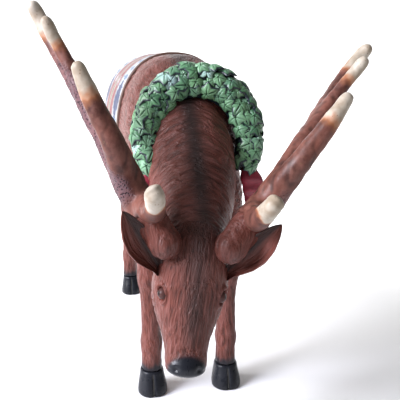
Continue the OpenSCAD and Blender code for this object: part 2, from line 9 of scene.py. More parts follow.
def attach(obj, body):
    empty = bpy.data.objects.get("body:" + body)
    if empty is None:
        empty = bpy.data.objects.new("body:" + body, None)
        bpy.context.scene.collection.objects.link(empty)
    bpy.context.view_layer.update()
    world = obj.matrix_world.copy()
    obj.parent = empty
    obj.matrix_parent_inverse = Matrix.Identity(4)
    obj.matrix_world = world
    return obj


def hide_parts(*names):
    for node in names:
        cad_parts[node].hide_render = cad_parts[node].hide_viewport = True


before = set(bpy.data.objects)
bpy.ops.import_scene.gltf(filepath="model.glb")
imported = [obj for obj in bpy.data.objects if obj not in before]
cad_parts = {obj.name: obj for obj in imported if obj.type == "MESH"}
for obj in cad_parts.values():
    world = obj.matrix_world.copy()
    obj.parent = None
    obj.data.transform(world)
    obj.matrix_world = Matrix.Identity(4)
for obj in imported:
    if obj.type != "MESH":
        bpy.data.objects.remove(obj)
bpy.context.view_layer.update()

# ---------------------------------------------------------------- sizes
# Tables are in millimetres, as the CAD model has them: forward is -Y, the reindeer's own left is +X.
SHIFT = np.array([-48.131, 66.147, 0.0])
HEAD_PIVOT = np.array([0.0, -560.0, 620.0])
HEAD_SHIFT = np.array([-26.0, 0.0, 0.0])
HEAD_TIP, HEAD_TURN = math.radians(6.9), math.radians(-3)
TORSO_SQUARE, HEAD_SQUARE, HOOF_SQUARE, RIBBON_SQUARE = 2.35, 2.15, 2.2, 2.6
LEG_X, STANCE = 122.0, 6.0
HOOF_H, HOOF_W, HOOF_L = 79.0, 91.0, 108.0
RNG = np.random.default_rng(7)

# [top y, top z, bottom y, bottom z, half width, share of the head turn]
TORSO = np.array([
    [-364, 800, -364, 690, 54, 0], [-348, 868, -348, 630, 100, 0], [-310, 950, -310, 580, 140, 0],
    [-260, 1015, -260, 552, 166, 0], [-180, 1052, -180, 528, 178, 0], [-90, 1062, -90, 518, 181, 0],
    [0, 1060, 0, 518, 187, 0], [90, 1056, 90, 522, 197, 0], [180, 1054, 180, 532, 206, 0],
    [270, 1054, 270, 550, 210, 0], [360, 1050, 360, 578, 208, 0], [440, 1036, 440, 618, 197, 0],
    [510, 1012, 510, 664, 178, 0], [570, 976, 570, 706, 148, 0], [620, 926, 620, 748, 106, 0],
    [648, 882, 648, 786, 62, 0]], float)
NECK = np.array([
    [-270, 972, -280, 622, 118, 0], [-320, 952, -310, 600, 126, 0.05], [-375, 914, -345, 584, 128, 0.15],
    [-450, 840, -386, 556, 120, 0.35], [-515, 768, -420, 530, 108, 0.6], [-570, 702, -446, 508, 96, 0.85],
    [-622, 660, -466, 488, 88, 1], [-655, 622, -482, 462, 90, 1], [-672, 570, -496, 430, 97, 1],
    [-682, 510, -514, 395, 97, 1], [-691, 450, -540, 360, 82, 1], [-700, 395, -575, 331, 65, 1],
    [-709, 350, -610, 307, 56, 1], [-718, 330, -626, 293, 55, 1], [-729, 308, -640, 280, 53, 1],
    [-730, 292, -652, 272, 46, 1], [-722, 281, -664, 268, 30, 1]], float)
# [z, x from the leg line, y, half width, half depth]
FRONT_LEG = np.array([
    [79, 0, -270, 33, 37], [120, 0, -270, 31, 34], [165, 0, -268, 35, 40], [200, 0, -268, 32, 36],
    [260, 0, -268, 31, 34], [330, 0, -268, 33, 38], [385, 0, -270, 40, 46], [425, 0, -268, 39, 46],
    [480, -1, -264, 43, 55], [540, -4, -256, 52, 72], [610, -6, -246, 58, 90], [690, -8, -236, 56, 98],
    [760, -12, -230, 40, 80]], float)
REAR_LEG = np.array([
    [79, 0, 598, 33, 37], [120, 0, 602, 30, 34], [165, 0, 607, 34, 39], [210, 0, 614, 30, 34],
    [300, 0, 630, 29, 34], [365, 0, 644, 33, 42], [405, 0, 648, 35, 50], [450, 0, 630, 35, 52],
    [520, 2, 574, 44, 66], [600, 5, 514, 56, 92], [690, 8, 470, 66, 118], [780, 6, 450, 60, 116],
    [850, -6, 440, 40, 84]], float)
HOOF = np.array([[0, 1, 1, 0], [6, 1.01, 1.005, 0], [14, 1.01, 1, 0], [40, 0.93, 0.9, 2], [66, 0.83, 0.77, 5],
                 [76, 0.79, 0.71, 6]], float)
# antler centre lines of the left side: [x, y, z, radius]
JOINT_PT, STUB_PT = np.array([132.0, -616, 666]), np.array([73.0, -654, 594])
BEAM = np.array([[158, -604, 696, 40], [184, -600, 740, 39], [214, -588, 788, 36], [258, -542, 854, 32],
                 [306, -488, 918, 28], [351, -430, 979, 24], [397, -380, 1037, 20.5], [436, -348, 1088, 18],
                 [458, -341, 1122, 16.5], [470, -347, 1143, 14.5]], float)
FORK = np.array([[300, -500, 912, 24], [322, -488, 948, 20], [344, -470, 984, 17], [378, -456, 1033, 15],
                 [406, -452, 1074, 14], [424, -460, 1106, 12.5]], float)
MID = np.array([[190, -610, 752, 36], [226, -642, 830, 29], [262, -642, 890, 25], [300, -637, 955, 20],
                [328, -634, 1008, 14]], float)
BROW = np.array([[150, -606, 694, 35], [138, -648, 695, 32], [127, -700, 697, 29], [126, -748, 716, 26],
                 [134, -802, 759, 22]], float)
EYE_PT = np.array([76.0, -652, 474])
EAR_BASE, EAR_TIP = np.array([96.0, -622, 534]), np.array([197.0, -682, 686])
GARLAND_MID = np.array([24.0, -338, 828])
GARLAND_A, GARLAND_B, GARLAND_R, GARLAND_END, GARLAND_LEAN = 148.0, 164.0, 48.0, 31.0, math.radians(10)
SIDES = {"left": 1, "right": -1}


# ---------------------------------------------------------------- numbers
def smooth(a, b, x):
    """0 at a and before it, 1 at b and past it, with an eased step between; a may be above b."""
    t = np.clip((np.asarray(x, float) - a) / (b - a), 0, 1)
    return t * t * (3 - 2 * t)


def unit(v):
    v = np.asarray(v, float)
    return v / np.linalg.norm(v, axis=-1, keepdims=True)


PERM = np.random.default_rng(3).permutation(256)
PERM = np.concatenate([PERM, PERM, PERM])
GRADS = unit(np.random.default_rng(5).normal(size=(256, 3)))


def noise(p):
    """Smooth gradient noise, about -0.7 to 0.7, at each row of p."""
    p = np.asarray(p, float)
    cell = np.floor(p).astype(int)
    f = p - cell
    u = f * f * f * (f * (f * 6 - 15) + 10)
    total = np.zeros(len(p))
    for dx in (0, 1):
        for dy in (0, 1):
            for dz in (0, 1):
                c = (cell + (dx, dy, dz)) & 255
                g = GRADS[PERM[PERM[PERM[c[:, 0]] + c[:, 1]] + c[:, 2]]]
                w = np.abs(1 - dx - u[:, 0]) * np.abs(1 - dy - u[:, 1]) * np.abs(1 - dz - u[:, 2])
                total += w * (g * (f - (dx, dy, dz))).sum(1)
    return total


def engraved(p):
    """Hair pattern for points stretched along the hair: -1 in the grooves, 1 on the strands between them."""
    return np.clip(noise(p) * 3.2 + 0.25, -1, 1)


def bend(v, e):
    """Cosine or sine values turned into those of a rounded square of power e; e = 2 is a circle."""
    return np.sign(v) * np.abs(v) ** (2 / e)


def circle(n):
    """n angles once round, in radians."""
    return np.linspace(0, 2 * math.pi, n, endpoint=False)


def row(tab, s):
    """Stations of a table at the fractional places s."""
    s = np.atleast_1d(np.asarray(s, float))
    n = len(tab)
    i = np.clip(np.floor(s).astype(int), 0, n - 2)
    t = (s - i)[:, None]
    a, b, c, d = tab[np.maximum(i - 1, 0)], tab[i], tab[i + 1], tab[np.minimum(i + 2, n - 1)]
    square, cube = 2 * a - 5 * b + 4 * c - d, 3 * b - a - 3 * c + d
    return 0.5 * (2 * b + (c - a) * t + square * t ** 2 + cube * t ** 3)


def rotation(axis, angle):
    return np.array(Matrix.Rotation(angle, 3, axis))


HEAD_ROT = rotation("Y", HEAD_TIP) @ rotation("Z", HEAD_TURN)


def on_head(p):
    return (np.asarray(p, float) - HEAD_PIVOT) @ HEAD_ROT.T + HEAD_PIVOT + HEAD_SHIFT


def off_head(p):
    return (np.asarray(p, float) - HEAD_PIVOT - HEAD_SHIFT) @ HEAD_ROT + HEAD_PIVOT


def skin(tab, s, a, off=0.0, square=TORSO_SQUARE):
    """Points on a lofted body: s runs along it, a is the angle from its top line."""
    s, a = np.broadcast_arrays(np.asarray(s, float), np.asarray(a, float))
    r = row(tab, s.ravel())
    a = a.ravel()
    top, low = r[:, :2], r[:, 2:4]
    mid, up = (top + low) / 2, (top - low) / 2
    size = np.linalg.norm(up, axis=1)
    k = (size + off) / size * bend(np.cos(a), square)
    x = (r[:, 4] + off) * bend(np.sin(a), square)
    p = np.stack([x, mid[:, 0] + up[:, 0] * k, mid[:, 1] + up[:, 1] * k], 1)
    w = r[:, 5:6]
    return (p * (1 - w) + on_head(p) * w).reshape(s.shape + (3,))


def side_of(p, side):
    p = np.array(p, float)
    p[..., 0] *= side
    return p


# ---------------------------------------------------------------- meshes
def metres(p):
    return (np.asarray(p, float) + SHIFT) * 0.001


def add(name, data):
    """A new object that holds data, in the scene."""
    obj = bpy.data.objects.new(name, data)
    bpy.context.scene.collection.objects.link(obj)
    return obj


def mesh_object(name, verts, faces, attributes=None):
    """A new object from points in CAD millimetres."""
    mesh = bpy.data.meshes.new(name)
    mesh.from_pydata(metres(verts).tolist(), [], [list(map(int, f)) for f in faces])
    for key, values in (attributes or {}).items():
        layer = mesh.attributes.new(key, "FLOAT", "POINT")
        layer.data.foreach_set("value", np.asarray(values, np.float32))
    mesh.validate()
    obj = add(name, mesh)
    shade(obj)
    return obj


def shade(obj, angle=None):
    obj.data.polygons.foreach_set("use_smooth", [True] * len(obj.data.polygons))
    if angle:
        obj.data.set_sharp_from_angle(angle=angle)
    obj.data.update()


def loft(rings):
    """Closed tube through rings of equal length, with a fan on each end. Returns points and faces."""
    rings = np.asarray(rings, float)
    m, n = rings.shape[:2]
    pts = rings.reshape(-1, 3)
    faces = [(j * n + i, j * n + (i + 1) % n, (j + 1) * n + (i + 1) % n, (j + 1) * n + i)
             for j in range(m - 1) for i in range(n)]
    first, last = len(pts), len(pts) + 1
    pts = np.vstack([pts, rings[0].mean(0), rings[-1].mean(0)])
    faces += [(first, (i + 1) % n, i) for i in range(n)]
    faces += [(last, (m - 1) * n + i, (m - 1) * n + (i + 1) % n) for i in range(n)]
    return pts, faces


def join_parts(parts):
    pts, faces, base = [], [], 0
    for p, f in parts:
        pts.append(p)
        faces += [tuple(base + i for i in face) for face in f]
        base += len(p)
    return np.vstack(pts), faces


def outward(obj):
    """Turns every face of a closed mesh outwards."""
    bm = bmesh.new()
    bm.from_mesh(obj.data)
    bmesh.ops.recalc_face_normals(bm, faces=bm.faces)
    bm.to_mesh(obj.data)
    bm.free()


def remesh(obj, voxel, rounds=0):
    """Fuses the object's closed shells into one even mesh and relaxes it."""
    outward(obj)
    mod = obj.modifiers.new("fuse", "REMESH")
    mod.mode = "VOXEL"
    mod.voxel_size = voxel * 0.001
    if rounds:
        ease = obj.modifiers.new("ease", "SMOOTH")
        ease.factor, ease.iterations = 0.5, rounds
    graph = bpy.context.evaluated_depsgraph_get()
    mesh = bpy.data.meshes.new_from_object(obj.evaluated_get(graph))
    obj.modifiers.clear()
    old, obj.data = obj.data, mesh
    bpy.data.meshes.remove(old)
    shade(obj)
    return obj


def points(obj):
    co = np.zeros(len(obj.data.vertices) * 3)
    obj.data.vertices.foreach_get("co", co)
    return co.reshape(-1, 3) * 1000 - SHIFT


def normals(obj):
    no = np.zeros(len(obj.data.vertices) * 3)
    obj.data.vertex_normals.foreach_get("vector", no)
    return no.reshape(-1, 3)


def set_points(obj, p):
    obj.data.vertices.foreach_set("co", metres(p).ravel())
    obj.data.update()


def edges(obj):
    e = np.zeros(len(obj.data.edges) * 2, int)
    obj.data.edges.foreach_get("vertices", e)
    return e.reshape(-1, 2)


def relax(obj, mask, rounds):
    """Laplacian smoothing where mask is above 0."""
    p, e = points(obj), edges(obj)
    count = np.bincount(e.ravel(), minlength=len(p)).astype(float)[:, None]
    mask = np.asarray(mask, float)[:, None] * 0.6
    for _ in range(rounds):
        total = np.zeros_like(p)
        for k in range(3):
            total[:, k] = (np.bincount(e[:, 0], p[e[:, 1], k], len(p))
                           + np.bincount(e[:, 1], p[e[:, 0], k], len(p)))
        p += (total / np.maximum(count, 1) - p) * mask
    set_points(obj, p)


def attribute(obj, name, values):
    layer = obj.data.attributes.get(name) or obj.data.attributes.new(name, "FLOAT", "POINT")
    layer.data.foreach_set("value", np.asarray(values, np.float32))


def comb(obj, lay):
    """Stores the way the hair lies: points in hair space, coarse along a hair and fine across it."""
    layer = obj.data.attributes.new("lay", "FLOAT_VECTOR", "POINT")
    layer.data.foreach_set("vector", np.asarray(lay, np.float32).ravel())


def slice_mesh(obj, at, normal):
    """Removes what lies past the plane on the normal's side (at is in scene metres) and closes the cut."""
    bm = bmesh.new()
    bm.from_mesh(obj.data)
    geom = bm.verts[:] + bm.edges[:] + bm.faces[:]
    bmesh.ops.bisect_plane(bm, geom=geom, plane_co=at, plane_no=normal, clear_outer=True)
    rim = [e for e in bm.edges if e.is_boundary]
    bmesh.ops.holes_fill(bm, edges=rim, sides=0)
    for face in bm.faces:
        face.smooth = True
    for e in rim:
        if e.is_valid:
            e.smooth = False
    bm.to_mesh(obj.data)
    bm.free()
    obj.data.update()


def place(obj, body, slot, *nodes):
    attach(obj, body)
    if nodes:
        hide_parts(*nodes)
    return obj


# ---------------------------------------------------------------- node helpers
class Graph:
    """Short names for building a procedural material."""

    def __init__(self, name):
        self.material = bpy.data.materials.new(name)
        self.material.use_nodes = True
        self.tree = self.material.node_tree
        self.shader = self.tree.nodes["Principled BSDF"]

    def fill(self, socket, value):
        if isinstance(value, bpy.types.NodeSocket):
            self.tree.links.new(value, socket)
        elif isinstance(value, (tuple, list)) and len(value) == 3 and socket.type == "RGBA":
            socket.default_value = (*value, 1)
        else:
            socket.default_value = value

    def node(self, kind, inputs=None, **settings):
        n = self.tree.nodes.new(kind)
        for key, value in settings.items():
            setattr(n, key, value)
        for key, value in (inputs or {}).items():
            self.fill(n.inputs[key], value)
        return n

    def attribute(self, name, output="Fac"):
        return self.node("ShaderNodeAttribute", attribute_name=name).outputs[output]

    def coords(self):
        return self.node("ShaderNodeTexCoord").outputs["Object"]

    def stretched(self, scale):
        return self.node("ShaderNodeMapping", {"Scale": scale, "Vector": self.coords()}).outputs["Vector"]

    def noise(self, scale, detail=4, rough=0.55, vector=None, warp=0.0):
        return self.node("ShaderNodeTexNoise", {
            "Scale": scale, "Detail": detail, "Roughness": rough, "Distortion": warp,
            "Vector": vector or self.coords()}).outputs["Fac"]

    def cells(self, scale):
        inputs = {"Scale": scale, "Vector": self.coords()}
        return self.node("ShaderNodeTexVoronoi", inputs).outputs["Distance"]

    def math(self, op, a, b=0.0, clamp=False):
        return self.node("ShaderNodeMath", {0: a, 1: b}, operation=op, use_clamp=clamp).outputs[0]

    def times(self, a, b, clamp=False):
        return self.math("MULTIPLY", a, b, clamp)

    def range(self, value, low, high, to_low=0.0, to_high=1.0):
        return self.node("ShaderNodeMapRange", {
            "Value": value, "From Min": low, "From Max": high, "To Min": to_low, "To Max": to_high
        }).outputs[0]

    def mix(self, fac, a, b):
        return self.node("ShaderNodeMix", {0: fac, 6: a, 7: b}, data_type="RGBA").outputs[2]

    def bump(self, height, strength, distance):
        return self.node("ShaderNodeBump", {
            "Strength": strength, "Distance": distance, "Height": height}).outputs[0]

    def finish(self, color, rough, normal=None, coat=0.0, specular=0.5, metallic=0.0, coat_rough=0.15):
        values = {"Base Color": color, "Roughness": rough, "Coat Weight": coat, "Coat Roughness": coat_rough,
                  "Specular IOR Level": specular, "Metallic": metallic}
        if normal is not None:
            values["Normal"] = normal
        for key, value in values.items():
            self.fill(self.shader.inputs[key], value)
        return self.material


def paint(obj, material):
    obj.data.materials.clear()
    obj.data.materials.append(material)


# ---------------------------------------------------------------- materials
FUR = (0.105, 0.029, 0.020)
FUR_LIGHT = (0.16, 0.044, 0.031)
FUR_DARK = (0.020, 0.013, 0.012)


def fur_material(name, fineness, fine=1.0):
    """Painted engraved fur, with painted highlight on the strand crests and painted shade in the grooves;
    fineness is how many engraved lines go to one strand of the mesh.
    """
    g = Graph(name)
    hair = g.noise(fineness, 3, 0.5, g.attribute("lay", "Vector"), 0.5)
    lines = g.range(hair, 0.35, 0.65)
    crest = g.attribute("crest")
    base = g.mix(g.range(g.noise(7.0, 4, 0.5), 0.35, 0.7), FUR, FUR_LIGHT)
    # painted highlight: the crests of the engraved strands are lightened as if light caught them
    brushed_grain_and_lit_crests = g.times(g.range(crest, 0.55, 1.0), g.range(g.noise(4.0, 3), 0.35, 0.65, 0.3, 0.8), True)
    crest_highlight_and_wear = g.mix(brushed_grain_and_lit_crests, base, (0.21, 0.08, 0.068))
    # painted highlight: the raised side of the fine hair lines is lightened too
    raised_strand_highlight = g.mix(g.times(g.range(hair, 0.52, 0.72), 0.4), crest_highlight_and_wear, (0.19, 0.07, 0.055))
    # painted shade: the grooves between the strands, coarse and fine, are darkened
    groove = g.mix(g.times(g.range(crest, 0.4, 0.0), 0.5), raised_strand_highlight, (0.022, 0.008, 0.006))
    fine_groove_shade = g.mix(g.times(g.range(hair, 0.46, 0.3), 0.55), groove, (0.055, 0.02, 0.016))
    dark = g.mix(g.times(g.attribute("stripe"), 0.93, True), fine_groove_shade, FUR_DARK)
    black = g.mix(g.attribute("black"), dark, (0.009, 0.010, 0.014))
    cover = g.math("SUBTRACT", 1.0, g.attribute("black"))
    normal = g.bump(g.times(lines, cover), 0.9 * fine, 0.0026)
    rough = g.math("SUBTRACT", g.range(hair, 0.3, 0.7, 0.5, 0.38), g.times(g.attribute("black"), 0.12))
    return g.finish(black, rough, normal, specular=0.28)


def antler_material():
    g = Graph("antler_paint")
    wide = g.noise(16.0, 5, 0.62, g.stretched((1, 1, 0.5)))
    fine = g.noise(60.0, 5, 0.6)
    brown = g.mix(g.range(wide, 0.38, 0.62), (0.062, 0.022, 0.017), (0.165, 0.06, 0.043))
    # lighter streaks: partly random mottling of the paint, partly a painted highlight for the antlers' gloss
    streak = g.mix(g.times(g.range(fine, 0.45, 0.7), 0.35), brown, (0.25, 0.11, 0.085))
    # painted shade: the engraved cracks are darkened
    streak = g.mix(g.times(g.range(g.attribute("crest"), 0.5, 0.0), 0.65), streak, (0.022, 0.009, 0.007))
    ivory = g.mix(g.range(g.noise(22.0, 3), 0.35, 0.7), (0.30, 0.235, 0.17), (0.52, 0.465, 0.39))
    halo = g.mix(g.range(g.attribute("cream"), 0.02, 0.45), streak, (0.34, 0.13, 0.055))
    blended = g.mix(g.range(g.attribute("cream"), 0.3, 0.8), halo, ivory)
    specks = g.math("LESS_THAN", g.cells(95.0), g.range(g.noise(30.0, 2), 0.45, 0.8, 0.06, 0.26))
    freckled = g.mix(g.times(specks, 0.55), blended, (0.13, 0.07, 0.04))
    pits = g.range(g.cells(165.0), 0.22, 0.5)
    zone = g.attribute("pitted")
    bare = g.mix(g.times(zone, 0.6), freckled, (0.16, 0.085, 0.10))
    # painted shade: the pits are darkened inside
    pitted = g.mix(g.times(g.math("SUBTRACT", 1.0, pits), zone), bare, (0.02, 0.008, 0.012))
    height = g.math("ADD", g.times(fine, 0.35), g.times(pits, g.times(zone, 2.2)))
    return g.finish(pitted, g.range(fine, 0.3, 0.7, 0.36, 0.52), g.bump(height, 0.6, 0.003), specular=0.25)


def hoof_material():
    g = Graph("hoof_black")
    grain = g.noise(40.0, 4, 0.55)
    base = g.mix(g.range(g.noise(14.0, 3), 0.35, 0.7), (0.008, 0.009, 0.012), (0.018, 0.019, 0.024))
    scuffed = g.mix(g.times(g.range(g.noise(70.0, 5, 0.7), 0.6, 0.78), 0.25), base, (0.09, 0.09, 0.10))
    cleft = g.mix(g.attribute("cleft"), scuffed, (0.34, 0.33, 0.31))
    return g.finish(cleft, g.range(grain, 0.3, 0.7, 0.24, 0.34), g.bump(grain, 0.12, 0.001), specular=0.22)


def leaf_material():
    g = Graph("ivy_green")
    tone = g.attribute("tone")
    mottled = g.mix(g.range(g.noise(26.0, 4), 0.35, 0.7), (0.036, 0.125, 0.056), (0.12, 0.30, 0.13))
    varied = g.mix(g.times(tone, 0.6), mottled, (0.20, 0.40, 0.19))
    # painted highlight: a few leaves get a pale blue-white sheen on their upper side
    sheened = g.mix(g.times(g.attribute("pale_sheen"), 0.55), varied, (0.55, 0.74, 0.76))
    # painted shade: the creases, rims and undersides of the leaves, and the roll between them, are near black
    gap_shaded = g.mix(g.attribute("crease_and_gap_shade"), sheened, (0.008, 0.018, 0.024))
    normal = g.bump(g.noise(120.0, 4), 0.2, 0.0012)
    return g.finish(gap_shaded, g.range(g.noise(50.0, 3), 0.3, 0.7, 0.34, 0.5), normal, coat=0.15, specular=0.55,
                    coat_rough=0.25)


def ribbon_material():
    g = Graph("ribbon_red")
    fold = g.noise(1.0, 3, 0.5, g.stretched((14, 14, 70)))
    # painted shade and highlight: the ribbon is darker in the troughs of its folds and lighter on their
    # ridges
    color = g.mix(g.range(fold, 0.3, 0.65), (0.17, 0.014, 0.028), (0.36, 0.035, 0.06))
    weave = g.noise(220.0, 3)
    normal = g.bump(g.math("ADD", fold, g.times(weave, 0.2)), 0.15, 0.0015)
    return g.finish(color, g.range(weave, 0.3, 0.7, 0.36, 0.5), normal, coat=0.08, coat_rough=0.3)


def blanket_material():
    """Painted bands in a knitted grid, with two thin bands of painted shade; 'run' is metres back from the
    front edge, 'girth' from the spine.
    """
    g = Graph("blanket_paint")
    run, girth = g.attribute("run"), g.attribute("girth")
    wobble = g.times(g.math("SUBTRACT", g.noise(70.0, 3), 0.5), 0.004)
    x = g.math("ADD", g.math("PINGPONG", run, 0.191), wobble)

    def stitches(value, size):
        return g.times(g.math("FLOOR", g.math("DIVIDE", value, size)), size)

    def band(low, high):
        return g.times(g.math("GREATER_THAN", x, low), g.math("LESS_THAN", x, high))

    def diamonds(stitch, pitch, middle, reach, fill):
        across = g.math("DIVIDE", g.math("PINGPONG", stitches(girth, stitch), pitch), pitch)
        away = g.math("DIVIDE", g.math("ABSOLUTE", g.math("SUBTRACT", stitches(x, stitch), middle)), reach)
        return g.math("LESS_THAN", g.math("ADD", across, away), fill)

    rose, cream = (0.185, 0.05, 0.055), (0.33, 0.285, 0.225)
    blue, white = (0.03, 0.044, 0.10), (0.37, 0.385, 0.40)
    # painted shade: a thin dark brown band along the front edge
    color = g.mix(band(-0.02, 0.006), cream, (0.10, 0.05, 0.035))
    color = g.mix(band(0.02, 0.108), color, white)
    flecks = g.times(diamonds(0.006, 0.018, 0.062, 0.05, 0.75), band(0.03, 0.1))
    color = g.mix(flecks, color, (0.10, 0.16, 0.24))
    color = g.mix(g.times(diamonds(0.009, 0.13, 0.062, 0.075, 0.62), band(0.022, 0.106)), color, blue)
    color = g.mix(band(0.108, 0.114), color, blue)
    color = g.mix(band(0.122, 0.172), color, rose)
    color = g.mix(g.times(diamonds(0.009, 0.10, 0.147, 0.03, 0.3), band(0.124, 0.17)), color, white)
    # painted shade: a dark grey-green line across the middle, standing for the dark outline of the blanket's
    # turned-away edge
    color = g.mix(band(0.183, 0.2), color, (0.085, 0.095, 0.07))
    color = g.mix(g.attribute("hem"), color, (0.36, 0.31, 0.25))
    crest_highlight_and_wear = g.mix(g.times(g.range(g.noise(45.0, 5, 0.65), 0.55, 0.75), 0.35), color, (0.26, 0.19, 0.165))
    height = g.math("ADD", g.noise(180.0, 3), g.times(g.math("FRACT", g.times(run, 130.0)), 0.25))
    rough = g.range(g.noise(35.0, 3), 0.3, 0.7, 0.42, 0.56)
    return g.finish(crest_highlight_and_wear, rough, g.bump(height, 0.25, 0.0012), coat=0.08, specular=0.45, coat_rough=0.35)


def eye_material():
    g = Graph("eye_gloss")
    away = g.attribute("rim")
    iris = g.mix(g.range(g.noise(160.0, 3), 0.4, 0.65), (0.008, 0.005, 0.005), (0.02, 0.009, 0.007))
    color = g.mix(away, iris, (0.07, 0.03, 0.026))
    return g.finish(color, 0.35, g.bump(g.noise(90.0, 2), 0.05, 0.0005), specular=0.15)


def steel_material():
    g = Graph("frame_steel")
    brushed_grain_and_lit_crests = g.noise(1.0, 5, 0.6, g.stretched((30, 30, 900)))
    color = g.mix(g.range(brushed_grain_and_lit_crests, 0.3, 0.7), (0.34, 0.34, 0.35), (0.56, 0.56, 0.57))
    rough = g.range(brushed_grain_and_lit_crests, 0.3, 0.7, 0.28, 0.46)
    return g.finish(color, rough, g.bump(brushed_grain_and_lit_crests, 0.12, 0.0004), metallic=1.0)


def brass_material():
    g = Graph("insert_brass")
    rings = g.noise(420.0, 4, 0.6)
    color = g.mix(g.range(rings, 0.3, 0.7), (0.42, 0.28, 0.1), (0.62, 0.45, 0.2))
    return g.finish(color, g.range(rings, 0.3, 0.7, 0.25, 0.42), g.bump(rings, 0.15, 0.0004), metallic=1.0)


BODY_FUR = fur_material("body_fur", 1.7)
LEG_FUR = fur_material("leg_fur", 1.6)
HEAD_FUR = fur_material("head_fur", 1.5)
EAR_FUR = fur_material("ear_fur", 1.0)
PEDICLE_FUR = fur_material("pedicle_fur", 1.8, 0.6)
ANTLER_PAINT = antler_material()
HOOF_BLACK = hoof_material()
IVY_GREEN = leaf_material()
RIBBON_RED = ribbon_material()
BLANKET_PAINT = blanket_material()
EYE_GLOSS = eye_material()
STEEL = steel_material()
BRASS = brass_material()


def coat(obj, material, stripe, black=0.0):
    """Gives fur its material, how dark each point is, and how much of it is black paint."""
    attribute(obj, "stripe", stripe)
    attribute(obj, "black", np.broadcast_to(black, np.shape(stripe)))
    paint(obj, material)


# ---------------------------------------------------------------- torso and legs
def leg_rings(tab, side, step, low, high):
    """Rings of a leg between two heights, from its stations."""
    s = np.linspace(0, len(tab) - 1, int((len(tab) - 1) * step) + 1)
    r = row(tab, s)
    r = r[(r[:, 0] >= low) & (r[:, 0] <= high)]
    a = circle(40)
    return np.stack([np.stack([STANCE + side * (LEG_X + q[1]) + q[3] * np.cos(a),
                               q[2] + q[4] * np.sin(a), np.full(len(a), q[0])], 1) for q in r])


def body_rings(tab, count, square):
    """Rings of a lofted body, count of them from its first station to its last."""
    s = np.linspace(0, len(tab) - 1, count)
    return skin(tab, s[:, None], circle(96)[None, :], 0.0, square)


# where the legs are parted from the torso
LEG_CUT = (0, 0, 0.503)


def build_torso():
    parts = [loft(body_rings(TORSO, 100, TORSO_SQUARE))]
    parts += [loft(leg_rings(tab, side, 6, 440, 2000)) for side in (1, -1) for tab in (FRONT_LEG, REAR_LEG)]
    obj = mesh_object("torso_skin", *join_parts(parts))
    remesh(obj, 5.4, 4)
    p = points(obj)
    lower = smooth(760, 640, p[:, 2]) * np.maximum(smooth(-120, -180, p[:, 1]), smooth(300, 380, p[:, 1]))
    upper = smooth(620, 700, p[:, 2]) * smooth(900, 800, p[:, 2]) * np.maximum(
        smooth(-90, -160, p[:, 1]) * smooth(-350, -320, p[:, 1]), smooth(300, 360, p[:, 1]))
    relax(obj, np.clip(lower * smooth(505, 540, p[:, 2]) + upper, 0, 1), 40)
    p, n = points(obj), normals(obj)
    flow = noise(p * 0.010)
    q = p * (0.085, 0.016, 0.085) + flow[:, None] * 2.2
    hair = engraved(q)
    muscle = noise(p * 0.009 + 11.0) * 5.0 * smooth(520, 600, p[:, 2])
    set_points(obj, p + n * (hair * 1.3 + muscle)[:, None] * smooth(503, 540, p[:, 2])[:, None])
    attribute(obj, "crest", np.clip(0.5 + 0.5 * hair, 0, 1))
    comb(obj, q)
    slice_mesh(obj, LEG_CUT, (0, 0, -1))
    p = points(obj)
    coat(obj, BODY_FUR, np.exp(-(p[:, 0] / 34) ** 2) * smooth(880, 960, p[:, 2]) * 0.85)
    return place(obj, "statue", "fur_brown", "torso_shell_left", "torso_shell_right")


def build_leg(which, tab, side_name):
    side = SIDES[side_name]
    obj = mesh_object(f"{which}_leg_skin_{side_name}", *loft(leg_rings(tab, side, 8, 0, 540)))
    remesh(obj, 3.2, 2)
    p, n = points(obj), normals(obj)
    centre = row(tab, np.interp(p[:, 2], tab[:, 0], np.arange(len(tab))))
    x = p[:, 0] - (STANCE + side * LEG_X)
    y = p[:, 1] - centre[:, 2]
    knee = np.exp(-((p[:, 2] - 392) / 26) ** 2) * smooth(0, -30, y) * 3.0
    tendon = -smooth(90, 180, p[:, 2]) * smooth(400, 300, p[:, 2]) * np.exp(-((np.abs(x) - 24) / 8) ** 2) \
        * np.exp(-((y - 6) / 14) ** 2) * 3.4
    spiral = np.stack([x * 0.10, y * 0.10, p[:, 2] * 0.024 + x * 0.03], 1) + side * 5
    spiral = spiral + noise(p * 0.02)[:, None] * 0.9
    hair = engraved(spiral)
    fade = smooth(79, 92, p[:, 2]) * smooth(505, 480, p[:, 2])
    set_points(obj, p + n * ((hair * 1.3 + tendon + knee) * fade)[:, None])
    attribute(obj, "crest", np.clip(0.5 + 0.5 * hair, 0, 1))
    comb(obj, spiral)
    slice_mesh(obj, LEG_CUT, (0, 0, 1))
    p = points(obj)
    edge = 88 + noise(p * 0.06) * 12
    behind = p[:, 1] - np.interp(p[:, 2], tab[:, 0], tab[:, 2])
    coat(obj, LEG_FUR, 0.35 * smooth(140, 95, p[:, 2]) + 0.25 * smooth(-10, 25, behind),
         smooth(20, 0, p[:, 2] - edge) * 0.95)
    return place(obj, "statue", "fur_brown", f"{which}_leg_shell_{side_name}")


